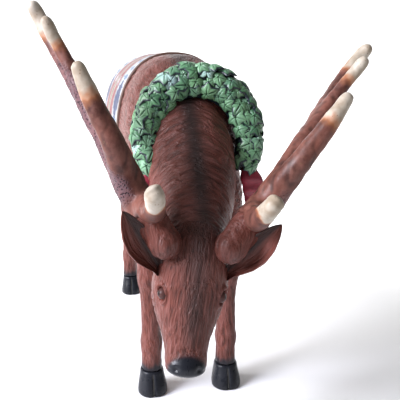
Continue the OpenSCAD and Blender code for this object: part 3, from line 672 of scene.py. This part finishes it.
def build_hoof(which, y, size, side_name):
    side = SIDES[side_name]
    a = circle(72)
    across, fore = bend(np.cos(a), HOOF_SQUARE), bend(np.sin(a), HOOF_SQUARE)
    r = row(HOOF, np.linspace(0, len(HOOF) - 1, 26))
    r[:, 0] = np.clip(r[:, 0], 0, HOOF_H)
    rings = np.stack([np.stack([HOOF_W / 2 * size * q[1] * across, q[3] + HOOF_L / 2 * q[2] * fore,
                                np.full(len(a), q[0])], 1) for q in r])
    centre = np.array([STANCE + side * LEG_X, y, 0])
    obj = mesh_object(f"{which}_hoof_{side_name}_cast", *loft(rings + centre))
    remesh(obj, 2.0, 2)
    p, n = points(obj), normals(obj)
    q = p - centre
    front = smooth(10, -16, q[:, 1])
    width = 2.6 + 1.2 * smooth(60, 0, q[:, 2])
    groove = np.exp(-(q[:, 0] / width) ** 2) * smooth(74, 58, q[:, 2]) * front
    toes = smooth(0, 20, np.abs(q[:, 0])) * front * smooth(60, 20, q[:, 2]) * 2.0
    step = 0.6 * np.exp(-((q[:, 2] - 70) / 4) ** 2)
    moved = p + n * ((-9.0 * groove + toes + step) * smooth(0.5, 3, q[:, 2]))[:, None]
    moved[:, 2] = np.maximum(moved[:, 2], 0.0)
    set_points(obj, moved)
    attribute(obj, "cleft", np.exp(-(q[:, 0] / 1.5) ** 2) * smooth(70, 60, q[:, 2]) * front * 0.8)
    paint(obj, HOOF_BLACK)
    return place(obj, "statue", "hoof_black", f"{which}_hoof_{side_name}")


def build_tail():
    # [y, z, half width, half depth]
    rows = [(600, 935, 22, 24), (640, 932, 30, 26), (664, 912, 34, 26), (680, 880, 30, 22),
            (688, 845, 20, 15), (690, 822, 9, 8)]
    a = circle(32)
    dense = row(np.array(rows, float), np.linspace(0, len(rows) - 1, 24))
    rings = [np.stack([t[2] * np.cos(a), t[0] + t[3] * np.sin(a) * 0.75, t[1] + t[3] * np.sin(a) * 0.65], 1)
             for t in dense]
    obj = mesh_object("tail_skin", *loft(rings))
    remesh(obj, 3.5, 2)
    p, n = points(obj), normals(obj)
    hair = engraved(p * (0.12, 0.02, 0.02))
    comb(obj, p * (0.12, 0.02, 0.02))
    set_points(obj, p + n * (hair * 1.2)[:, None])
    attribute(obj, "crest", np.clip(0.5 + 0.5 * hair, 0, 1))
    coat(obj, BODY_FUR, np.exp(-(p[:, 0] / 14) ** 2) * 0.7)
    return place(obj, "statue", "fur_brown", "tail")


# ---------------------------------------------------------------- neck and head
# the way the left eye faces
EYE_OUT = unit([0.93, -0.33, 0.12])


def blob(p, centre, reach, height):
    """A soft bump, with reach a number or one number for each direction."""
    return height * np.exp(-(((p - centre) / np.asarray(reach, float)) ** 2).sum(1))


def build_head():
    obj = mesh_object("neck_head_skin", *loft(body_rings(NECK, 130, HEAD_SQUARE)))
    remesh(obj, 2.9, 3)
    p, n = points(obj), normals(obj)
    h = off_head(p)
    m = h.copy()
    m[:, 0] = np.abs(h[:, 0])
    along = h[:, 2]
    head = smooth(-560, -610, h[:, 1]) * smooth(680, 640, h[:, 2])
    eye_u = unit(np.cross(EYE_OUT, np.cross([0.1, -0.22, -0.97], EYE_OUT)))
    eye_v = np.cross(EYE_OUT, eye_u)
    d = m - (EYE_PT + EYE_OUT * 12)
    u, v, w = d @ eye_u, d @ eye_v, d @ EYE_OUT
    rho = np.sqrt((u / 19) ** 2 + (v / 9.5) ** 2)
    near = smooth(44, 26, np.abs(w)) * head
    lids = (5.5 * np.exp(-((rho - 1.35) / 0.34) ** 2) - 10.0 * smooth(1.02, 0.72, rho)) * near
    socket = -4.0 * np.exp(-(((u + 4) / 34) ** 2 + ((v - 2) / 26) ** 2)) * near
    brow = blob(m, (80, -640, 492), (24, 30, 20), 6.0)
    cheek = blob(m, (62, -575, 395), (30, 45, 40), 3.0)
    ridge = blob(m, (0, -700, 420), (16, 40, 70), 2.0)
    nose = blob(m, (0, -736, 312), (40, 24, 26), 5.0)
    nostril = -blob(m, (31, -728, 303), (8.5, 14, 6.5), 8.0) + blob(m, (38, -724, 309), (9, 14, 8), 3.0)
    lip = -blob(m * (0, 1, 1), (0, -672, 297), (1, 60, 3.2), 2.6) * smooth(25, 45, m[:, 0])
    chin = blob(m, (0, -668, 272), (26, 22, 10), 3.0)
    shape = lids + socket + (brow + cheek + ridge + nose + nostril + lip + chin) * head
    # engraved hair: strands down the face, arched wrinkles round the neck
    face = smooth(700, 640, along) * smooth(-590, -640, h[:, 1])
    down = h * (0.16, 0.11, 0.024) + noise(h * 0.018)[:, None] * 1.3
    strands = engraved(down)
    arch = (h[:, 2] + h[:, 1]) * 0.6 + h[:, 0] ** 2 * 0.0024
    neck = np.stack([arch * 0.115, h[:, 0] * 0.022, h[:, 1] * 0.010], 1) + noise(p * 0.024)[:, None] * 1.3
    wrinkles = engraved(neck)
    comb(obj, np.where(face[:, None] > 0.5, down, neck))
    smooth_nose = smooth(322, 345, h[:, 2] + np.abs(h[:, 0]) * 0.1)
    spine = np.exp(-(h[:, 0] / 36) ** 2)
    clear = smooth_nose * smooth(0.9, 1.4, rho + 8 * (1 - near))
    hair = (strands * face + wrinkles * (1 - face) * (1.7 - 0.9 * spine)) * clear
    set_points(obj, p + n * (shape + hair)[:, None])
    lit = np.clip(0.5 + 0.5 * (strands * face + wrinkles * (1 - face)), 0, 1)
    attribute(obj, "crest", 0.5 + (lit - 0.5) * clear)
    half_stripe = 17 + 0.1 * np.clip(h[:, 2] - 350, 0, 300)
    stripe_face = np.exp(-((h[:, 0] - 3) / half_stripe) ** 2) * smooth(330, 420, h[:, 2]) * 0.75
    stripe_neck = np.exp(-((p[:, 0] + 6) / 36) ** 2)
    nape = smooth(20, 70, (p[:, 2] - 700) * 0.72 - (p[:, 1] + 480) * 0.69)
    stripe = np.clip(stripe_face * face + stripe_neck * (1 - face) * nape, 0, 1) * smooth_nose
    front = smooth(-690, -712, h[:, 1] + (h[:, 2] - 300) * 0.25)
    edge = 338 - 0.012 * h[:, 0] ** 2 + noise(p * 0.08) * 5
    coat(obj, HEAD_FUR, stripe, smooth(12, -6, h[:, 2] - edge) * front)
    return place(obj, "statue", "fur_brown", "neck_head_shell_left", "neck_head_shell_right", "muzzle")


def build_eye(side_name):
    side = SIDES[side_name]
    u, v = np.meshgrid(np.linspace(0, 2 * math.pi, 48, endpoint=False), np.linspace(0.03, math.pi - 0.03, 30))
    dirs = np.stack([np.sin(v) * np.cos(u), np.sin(v) * np.sin(u), np.cos(v)], -1)
    pts, faces = loft(dirs * 15.0 + EYE_PT + EYE_OUT * -2.2)
    facing = unit(pts - EYE_PT) @ EYE_OUT
    obj = mesh_object(f"eye_ball_{side_name}", on_head(side_of(pts, side)), faces,
                      {"rim": smooth(0.93, 0.8, facing)})
    outward(obj)
    paint(obj, EYE_GLOSS)
    return place(obj, "statue", "eye_gloss", f"eye_{side_name}")


def build_ear(side_name):
    side = SIDES[side_name]
    axis = unit(EAR_TIP - EAR_BASE)
    wide = unit(np.cross(axis, [-0.2, -0.93, 0.2]))
    deep = np.cross(wide, axis)
    length = np.linalg.norm(EAR_TIP - EAR_BASE)
    t = np.linspace(-0.12, 1, 44)
    v = np.linspace(-1, 1, 25)
    width = np.interp(t, [-0.12, 0, 0.12, 0.3, 0.5, 0.7, 0.86, 0.95, 1],
                      [13, 16, 24, 34, 38, 33, 21, 11, 2.5])
    cup = np.interp(t, [-0.12, 0.12, 0.4, 0.75, 1], [14, 21, 23, 15, 3])
    thick = np.interp(t, [-0.12, 0.2, 0.9, 1], [10, 7, 5, 2.5])
    droop = 9 * np.sin(np.clip(t, 0, 1) * math.pi)
    outer, inner = [], []
    for k in range(len(t)):
        c = EAR_BASE + axis * length * t[k] + deep * (cup[k] * 0.45) + np.array([0.35, 0.1, -0.93]) * droop[k]
        x = v * width[k]
        y = -cup[k] * (1 - np.abs(v) ** 2.2)
        lip = 2.0 * np.exp(-((np.abs(v) - 1) / 0.12) ** 2)
        outer.append(c + wide * x[:, None] + deep * (y - thick[k] / 2)[:, None])
        inner.append((c + wide * (x * 0.93)[:, None] + deep * (y + thick[k] / 2 + lip)[:, None])[::-1])
    rings = np.concatenate([np.array(outer), np.array(inner)], axis=1)
    pts, faces = loft(on_head(side_of(rings, side)))
    obj = mesh_object(f"ear_skin_{side_name}", pts, faces)
    inside = np.tile(np.concatenate([np.zeros(len(v)), smooth(-0.15, 0.45, v)]), len(t))
    inside = np.concatenate([inside, [0, 0]])
    across = np.concatenate([np.tile(np.concatenate([v, v[::-1]]) * 4, len(t)), [0, 0]])
    along = np.concatenate([np.repeat(t, 2 * len(v)) * 2.5, [0, 2.5]])
    level = np.zeros(len(along))
    comb(obj, np.stack([across + along * 0.4, along, level], 1))
    attribute(obj, "crest", np.clip(0.6 + 0.6 * noise(np.stack([across, along, level + 7], 1)), 0, 1))
    outward(obj)
    mod = obj.modifiers.new("round", "SUBSURF")
    mod.levels = mod.render_levels = 1
    shade(obj)
    coat(obj, EAR_FUR, np.clip(inside, 0, 0.92))
    return place(obj, "statue", "fur_brown", f"ear_{side_name}")


# ---------------------------------------------------------------- antlers
PEG_DIR = unit(JOINT_PT - STUB_PT)


def tube(line, sides=28, step=5):
    """Round branch through a list of [x, y, z, radius], with domed ends."""
    dense = row(line, np.linspace(0, len(line) - 1, (len(line) - 1) * step + 1))
    p, r = dense[:, :3], dense[:, 3]
    d = unit(np.gradient(p, axis=0))
    ends = [(p[-1] + d[-1] * r[-1] * math.sin(t), d[-1], r[-1] * math.cos(t)) for t in (0.5, 0.95, 1.3, 1.5)]
    starts = [(p[0] - d[0] * r[0] * math.sin(t), d[0], r[0] * math.cos(t)) for t in (1.5, 1.2, 0.8, 0.4)]
    up = np.array([0.2, 0.9, 0.3])
    rings = []
    a = circle(sides)
    for c, t, q in starts + list(zip(p, d, r)) + ends:
        u = unit(np.cross(t, up))
        up = np.cross(u, t)
        rings.append(c + (u[None, :] * np.cos(a)[:, None] + up[None, :] * np.sin(a)[:, None]) * q)
    return loft(rings)


def cone(start, end, r1, r2):
    """Round root of a casting, with a small chamfer at its start."""
    d = unit(end - start)
    u = unit(np.cross(d, [0.3, 0.9, 0.1]))
    v = np.cross(d, u)
    a = circle(48)
    ring = u[None, :] * np.cos(a)[:, None] + v[None, :] * np.sin(a)[:, None]
    return loft([start + ring * (r1 - 2.5), start + d * 2.2 + ring * r1, end + ring * r2])


def in_antler(p, side):
    """Points in the left antler's own place on the head, and how far each lies along the peg."""
    h = side_of(off_head(p), side)
    return h, (h - JOINT_PT) @ PEG_DIR


def build_antler(side_name):
    side = SIDES[side_name]
    root = cone(JOINT_PT + PEG_DIR * 0.6, JOINT_PT + PEG_DIR * 62, 43, 39.5)
    pts, faces = join_parts([root] + [tube(line) for line in (BEAM, FORK, MID, BROW)])
    obj = mesh_object(f"antler_cast_{side_name}", on_head(side_of(pts, side)), faces)
    remesh(obj, 4.2, 2)
    relax(obj, smooth(12, 40, in_antler(points(obj), side)[1]), 14)
    p, n = points(obj), normals(obj)
    h, t = in_antler(p, side)
    cracks = engraved(h * (0.06, 0.06, 0.022) + noise(h * 0.02)[:, None] * 1.2)
    lumps = noise(h * 0.016) * 3.6 + noise(h * 0.05) * 1.1 + cracks * 0.8
    burr = np.exp(-((t - 9) / 7) ** 2) * (2.0 + noise(h * 0.11) * 2.5) * 0.6
    tip_gap = np.min([np.linalg.norm(h - line[-1, :3], axis=1) for line in (BEAM, FORK, MID)], axis=0)
    swell = 1.6 + 3.0 * smooth(190, 40, tip_gap)
    set_points(obj, p + n * ((lumps + burr + swell) * smooth(1.5, 8, t))[:, None])
    cream = np.zeros(len(p))
    for line, far, close in ((BEAM, 118, 42), (FORK, 96, 34), (MID, 100, 34), (BROW, 58, 34)):
        gap = np.linalg.norm(h - line[-1, :3], axis=1) + noise(h * 0.03) * 26 + noise(h * 0.09) * 12
        cream = np.maximum(cream, smooth(far, close, gap))
    attribute(obj, "cream", cream)
    spine = row(BEAM, np.linspace(0, len(BEAM) - 1, 60))[:, :3]
    off = h - spine[np.linalg.norm(h[:, None] - spine[None], axis=2).argmin(1)]
    zone = smooth(30, 70, t) * smooth(560, 380, t) * smooth(-4, 12, off @ unit([0.80, -0.12, -0.52]))
    zone = zone * smooth(62, 46, np.linalg.norm(off, axis=1))
    attribute(obj, "pitted", zone if side_name == "right" else zone * 0.35)
    attribute(obj, "crest", 0.5 + 0.5 * cracks)
    paint(obj, ANTLER_PAINT)
    return place(obj, f"antler_{side_name}", "antler_paint", f"antler_casting_{side_name}")


def build_pedicle(side_name):
    side = SIDES[side_name]
    low = JOINT_PT - PEG_DIR * 84
    line = np.array([[*low, 41.5], [*(JOINT_PT - PEG_DIR * 40), 42], [*(JOINT_PT - PEG_DIR * 3), 43]])
    body = tube(line, 40, 8)
    obj = mesh_object(f"pedicle_skin_{side_name}", on_head(side_of(body[0], side)), body[1])
    remesh(obj, 3.0, 2)
    top = on_head(side_of(JOINT_PT - PEG_DIR * 0.4, side))
    up = unit(on_head(side_of(JOINT_PT + PEG_DIR, side)) - on_head(side_of(JOINT_PT, side)))
    p, n = points(obj), normals(obj)
    h, t = in_antler(p, side)
    bark = h * (0.075, 0.075, 0.03) + 4 + noise(h * 0.02)[:, None] * 1.2
    cracks = engraved(bark)
    comb(obj, bark)
    set_points(obj, p + n * ((noise(h * 0.03) * 3.0 + cracks * 0.9) * smooth(-2, -20, t))[:, None])
    attribute(obj, "crest", 0.5 + 0.35 * cracks)
    slice_mesh(obj, tuple(metres(top)), tuple(up))
    coat(obj, PEDICLE_FUR, 0.3 * smooth(-60, -120, in_antler(points(obj), side)[1]))
    return place(obj, "statue", "fur_brown", f"pedicle_{side_name}")


# ---------------------------------------------------------------- garland
LEAN = rotation("X", -GARLAND_LEAN)
# the roll under the leaves: its radius, and how much wider it is at the top of the garland
CORE_R, CROWN = GARLAND_R - 13, 12


def garland_frame(a):
    """Middle of the roll at angle a in radians, the way it runs there, and the way outwards."""
    c = np.array([GARLAND_A * math.cos(a), 0, GARLAND_B * math.sin(a)])
    d = unit([-GARLAND_A * math.sin(a), 0, GARLAND_B * math.cos(a)])
    return c, d, np.cross([0, 1, 0], d)


def leaf_mesh(size):
    """One thick five-pointed ivy leaf, tip along +Y. Returns points, faces and a mask of painted shade for
    its creases, rim and underside.
    """
    tips = np.radians([90, 22, 158, -38, 218])
    reach = np.array([1.0, 0.86, 0.86, 0.66, 0.66])
    a = circle(60)
    gap = np.abs((a[:, None] - tips[None, :] + math.pi) % (2 * math.pi) - math.pi)
    lobes = (reach[None, :] * np.exp(-(gap / 0.40) ** 1.2)).max(1)
    edge = 0.52 + 0.48 * lobes
    edge *= 1 - 0.5 * np.exp(-((np.abs((a + math.pi / 2 + math.pi) % (2 * math.pi) - math.pi)) / 0.25) ** 2)
    strength = np.array([1.0, 0.55, 0.55, 0.3, 0.3])
    pts, crease_and_gap_shade = [], []
    for q in (0.2, 0.42, 0.64, 0.84, 0.95, 1.0):
        x, y = np.cos(a) * edge * q, np.sin(a) * edge * q
        crease = (strength * np.exp(-(gap * (0.2 + q) / 0.075) ** 2)).max(1) * smooth(1.0, 0.6, q)
        height = (0.20 * (1 - q ** 3) + 0.12 * np.abs(x) ** 0.8 - 0.15 * crease - 0.42 * x ** 2
                  - 0.22 * y ** 2 - 0.08 * y)
        pts.append(np.stack([x, y, height], 1))
        # painted shade: darker in the creases and along the rim
        crease_and_gap_shade.append(np.clip(crease * 0.85 + 1.0 * smooth(0.86, 0.96, q), 0, 1))
    for q, low in ((1.0, 0.14), (0.7, 0.2)):
        x, y = np.cos(a) * edge * q, np.sin(a) * edge * q
        pts.append(np.stack([x, y, -low - 0.2 * (x ** 2 + y ** 2)], 1))
        # painted shade: the underside of the leaf is dark all over
        crease_and_gap_shade.append(np.ones(len(a)))
    pts, faces = loft(pts)
    pts[-2] = (0, 0, 0.05)
    pts[-1] = (0, 0, -0.2)
    return pts * size, faces, np.concatenate([*crease_and_gap_shade, [0.9, 1.0]])


def build_garland():
    from_a, to_a = math.radians(-GARLAND_END), math.radians(180 + GARLAND_END)
    a = circle(36)
    angles = np.linspace(from_a, to_a, 70)
    rings = []
    for k, t in enumerate(angles):
        c, d, out = garland_frame(t)
        end = min(k, len(angles) - 1 - k)
        r = CORE_R * (0.55 if end == 0 else 0.85 if end == 1 else 1)
        w = r + CROWN * max(0, math.sin(t))
        rings.append(c + out * (w * np.cos(a))[:, None] + np.array([0, 1, 0]) * (r * np.sin(a))[:, None])
    core = loft(rings)
    bare = np.zeros(len(core[0]))
    # painted shade: the roll under the leaves is dark all over where it shows between them
    parts, crease_and_gap_shades, tones, pale_sheens = [core], [bare + 1], [bare], [bare]
    # each row: degrees round the roll, and how many leaves
    rows = [(-78, 18), (-42, 21), (-6, 22), (30, 22), (64, 20), (98, 17), (132, 14)]
    for k, (place_deg, count) in enumerate(rows):
        for j in range(count):
            t = from_a + (to_a - from_a) * (j + 0.3 + 0.4 * (k % 2)) / count
            t += RNG.normal() * 0.018
            b = math.radians(place_deg + RNG.normal() * 4)
            c, d, out = garland_frame(t)
            n = out * math.cos(b) - np.array([0, 1, 0]) * math.sin(b)
            side_dir = np.cross(n, d)
            roll = RNG.normal() * 0.7 + (0.35 if k % 2 else -0.35)
            tip = d * math.copysign(math.cos(roll), t - math.pi / 2) + side_dir * math.sin(roll)
            across = np.cross(tip, n)
            lift = RNG.normal() * 2.2 + 0.5
            tilt = 0.34 + RNG.normal() * 0.10
            n2 = unit(n - tip * tilt)
            tip2 = np.cross(n2, across)
            size = 33 * (1 + RNG.normal() * 0.09)
            pts, faces, crease_and_gap_shade = leaf_mesh(size)
            w = CORE_R + CROWN * max(0, math.sin(t)) * abs(math.cos(b))
            at = c + n * (w + 4.5 + lift)
            parts.append((at + pts[:, :1] * across + pts[:, 1:2] * tip2 + pts[:, 2:] * n2, faces))
            crease_and_gap_shades.append(crease_and_gap_shade)
            tones.append(np.full(len(pts), RNG.random()))
            # painted highlight: about one leaf in seven gets the full pale sheen, the rest a faint one
            pale_sheen = 1.0 if RNG.random() < 0.14 else 0.2 * RNG.random()
            pale_sheens.append(pale_sheen * smooth(-0.2, 0.2, pts[:, 2] / size))
    pts, faces = join_parts(parts)
    pts = pts @ LEAN.T + GARLAND_MID
    obj = mesh_object("garland_leaves", pts, faces, {
        "crease_and_gap_shade": np.concatenate(crease_and_gap_shades), "tone": np.concatenate(tones), "pale_sheen": np.concatenate(pale_sheens)})
    outward(obj)
    shade(obj, math.radians(50))
    paint(obj, IVY_GREEN)
    return place(obj, "statue", "ivy_green", "garland")


# ---------------------------------------------------------------- ribbon and blanket
def thick_patch(tab, s, a, low, high, square):
    """Closed raised sheet over a lofted body, from low to high above it; s, a and high are grids."""
    base = skin(tab, s, a, 0.0, square)
    n = unit(skin(tab, s, a, 3.0, square) - base)
    r, c = s.shape
    pts = np.vstack([(base + n * high[..., None]).reshape(-1, 3), (base + n * low).reshape(-1, 3)])
    k = r * c
    faces = []
    for i in range(r - 1):
        for j in range(c - 1):
            q = i * c + j
            faces.append((q, q + 1, q + c + 1, q + c))
            faces.append((k + q, k + q + c, k + q + c + 1, k + q + 1))
    last = (r - 1) * c
    for j in range(c - 1):
        faces.append((j, k + j, k + j + 1, j + 1))
        faces.append((last + j, last + j + 1, k + last + j + 1, k + last + j))
    for q in range(0, last, c):
        e = q + c - 1
        faces.append((q, q + c, k + q + c, k + q))
        faces.append((e, k + e, k + e + c, e + c))
    return pts, faces


def build_blanket():
    front, back, limit = 5.75, 10.0, math.radians(140)
    s = np.concatenate([[front, 5.77], np.linspace(5.82, 9.93, 60), [9.98, back]])
    inner = np.linspace(-limit * 0.985, limit * 0.985, 150)
    a = np.concatenate([[-limit, -limit * 0.996], inner, [limit * 0.996, limit]])
    s, a = np.meshgrid(s, a, indexing="ij")
    # about millimetres in from the side hems, and from the nearest edge
    side_gap = (limit - np.abs(a)) * 230
    rim = np.minimum(np.minimum(s - front, back - s) * 90, side_gap)
    p = skin(TORSO, s, a)
    wave = noise(p.reshape(-1, 3) * (0.014, 0.012, 0.010)).reshape(s.shape) * 2.6
    edge = 1.6 * np.exp(-((rim - 4.5) / 3.2) ** 2) - 2.4 * smooth(1.6, 0, rim)
    pts, faces = thick_patch(TORSO, s, a, 0.8, 7.4 + (wave + edge), TORSO_SQUARE)
    step = np.linalg.norm(np.diff(p, axis=1), axis=2)
    girth = np.concatenate([np.zeros((len(s), 1)), np.cumsum(step, axis=1)], axis=1)
    girth = np.abs(girth - girth[:, girth.shape[1] // 2][:, None]) * 0.001 + 0.004
    run = (p[..., 1] - p[0, 0, 1]) * 0.001
    marks = {"run": run, "girth": girth, "hem": smooth(7.5, 6.0, side_gap)}
    marks = {key: np.tile(v.ravel(), 2) for key, v in marks.items()}
    obj = mesh_object("saddle_blanket_cover", pts, faces, marks)
    outward(obj)
    shade(obj, math.radians(60))
    paint(obj, BLANKET_PAINT)
    return place(obj, "statue", "blanket_paint", "saddle_blanket")


def build_ribbon_band():
    top = 1.9
    s, a = np.meshgrid(np.linspace(top, 2.9, 26), np.linspace(math.radians(112), math.radians(248), 90),
                       indexing="ij")
    t = s - top
    wave = 1.1 * np.sin(t * 11 + a * 1.3) - 3.0 * smooth(0.1, 0, t) - 3.0 * smooth(0.9, 1, t)
    obj = mesh_object("ribbon_band_folds", *thick_patch(NECK, s, a, -2.0, 6.0 + wave, HEAD_SQUARE))
    outward(obj)
    shade(obj, math.radians(60))
    paint(obj, RIBBON_RED)
    return place(obj, "statue", "ribbon_red", "ribbon_band")


# [z, x, y, half width, half depth]
RIBBON_ENDS = {
    "left": [(742, 174, -356, 20, 12), (722, 177, -362, 30, 15), (700, 182, -366, 33, 15),
             (676, 186, -368, 32, 13), (650, 184, -368, 26, 11), (634, 180, -366, 17, 9),
             (626, 178, -366, 6, 5)],
    "right": [(738, -128, -372, 14, 10), (720, -132, -376, 22, 12), (700, -134, -376, 22, 11),
              (680, -132, -374, 19, 10), (662, -128, -372, 13, 8), (650, -125, -370, 6, 5)]}


def build_ribbon_tail(side_name):
    tab = np.array(RIBBON_ENDS[side_name], float)
    a = circle(48)
    across, fore = bend(np.cos(a), RIBBON_SQUARE), bend(np.sin(a), RIBBON_SQUARE)
    rings = [np.stack([t[1] + t[3] * across, t[2] + t[4] * fore, np.full(len(a), t[0])], 1)
             for t in row(tab, np.linspace(0, len(tab) - 1, 40))]
    obj = mesh_object(f"ribbon_end_{side_name}", *loft(rings))
    remesh(obj, 2.2, 2)
    p, n = points(obj), normals(obj)
    z = p[:, 2] + 5 * np.sin(p[:, 0] * 0.06) + noise(p * 0.03) * 8
    folds = np.sin(z * 0.17) * 1.1 * smooth(636, 660, p[:, 2]) * smooth(0, -8, p[:, 1] + 355)
    set_points(obj, p + n * folds[:, None])
    paint(obj, RIBBON_RED)
    return place(obj, "statue", "ribbon_red", f"ribbon_tail_{side_name}")


# ---------------------------------------------------------------- building
build_torso()
build_tail()
build_head()
for name in SIDES:
    build_leg("front", FRONT_LEG, name)
    build_leg("rear", REAR_LEG, name)
    build_hoof("front", -276, 1.0, name)
    build_hoof("rear", 590, 0.9, name)
    build_eye(name)
    build_ear(name)
    build_pedicle(name)
    build_antler(name)
    build_ribbon_tail(name)
build_garland()
build_ribbon_band()
build_blanket()

for name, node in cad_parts.items():
    if not node.hide_render:
        paint(node, BRASS if "insert" in name else STEEL)


# ---------------------------------------------------------------- floor, light, camera
def plain(name, color, rough):
    g = Graph(name)
    return g.finish(g.mix(g.range(g.noise(1.5, 2), 0.4, 0.6), color, tuple(c * 0.99 for c in color)), rough)


def cyclorama():
    """Pale floor that curves up into a pale wall behind the figure."""
    profile = [(-7.0, 0.0), (3.5, 0.0)]
    profile += [(3.5 + 2.5 * math.sin(t), 2.5 - 2.5 * math.cos(t)) for t in np.linspace(0.1, math.pi / 2, 12)]
    profile.append((6.0, 9.0))
    verts = [(x, y, z) for y, z in profile for x in (-12.0, 12.0)]
    faces = [(2 * i, 2 * i + 1, 2 * i + 3, 2 * i + 2) for i in range(len(profile) - 1)]
    mesh = bpy.data.meshes.new("floor")
    mesh.from_pydata(verts, [], faces)
    obj = add("floor", mesh)
    shade(obj)
    paint(obj, plain("floor_pale", (0.9, 0.9, 0.9), 0.9))


def area(name, stand, aim, size, power, color=(1, 1, 1)):
    light = bpy.data.lights.new(name, "AREA")
    light.energy, light.size, light.color = power, size, color
    obj = add(name, light)
    obj.location = stand
    obj.rotation_euler = (Vector(aim) - Vector(stand)).to_track_quat("-Z", "Y").to_euler()


cyclorama()
sky = bpy.data.lights.new("sky", "SUN")
sky.energy, sky.angle, sky.color = 4.9, math.radians(40), (0.97, 0.97, 1.0)
add("sky", sky).rotation_euler = Vector((-0.86, -0.12, 0.50)).to_track_quat("Z", "Y").to_euler()
area("window", (-2.3, -1.2, 2.0), (0, -0.4, 0.8), 1.2, 85, (0.78, 0.82, 1.0))
area("backdrop", (0, 1.6, 3.2), (0, 5.2, 0.9), 2.5, 260)
world = bpy.data.worlds.new("studio")
bpy.context.scene.world = world
world.use_nodes = True
background = world.node_tree.nodes["Background"]
background.inputs["Color"].default_value = (1, 1, 1, 1)
background.inputs["Strength"].default_value = 0.22

bpy.context.scene.view_settings.view_transform = "Standard"
camera = bpy.data.cameras.new("camera")
camera.lens, camera.sensor_width = 57.37, 36.0
eye = add("camera", camera)
eye.location = (-0.3542, -2.0802, 1.1017)
eye.rotation_euler = (math.radians(90 - 13.93), 0, math.radians(-10.54))
bpy.context.scene.camera = eye
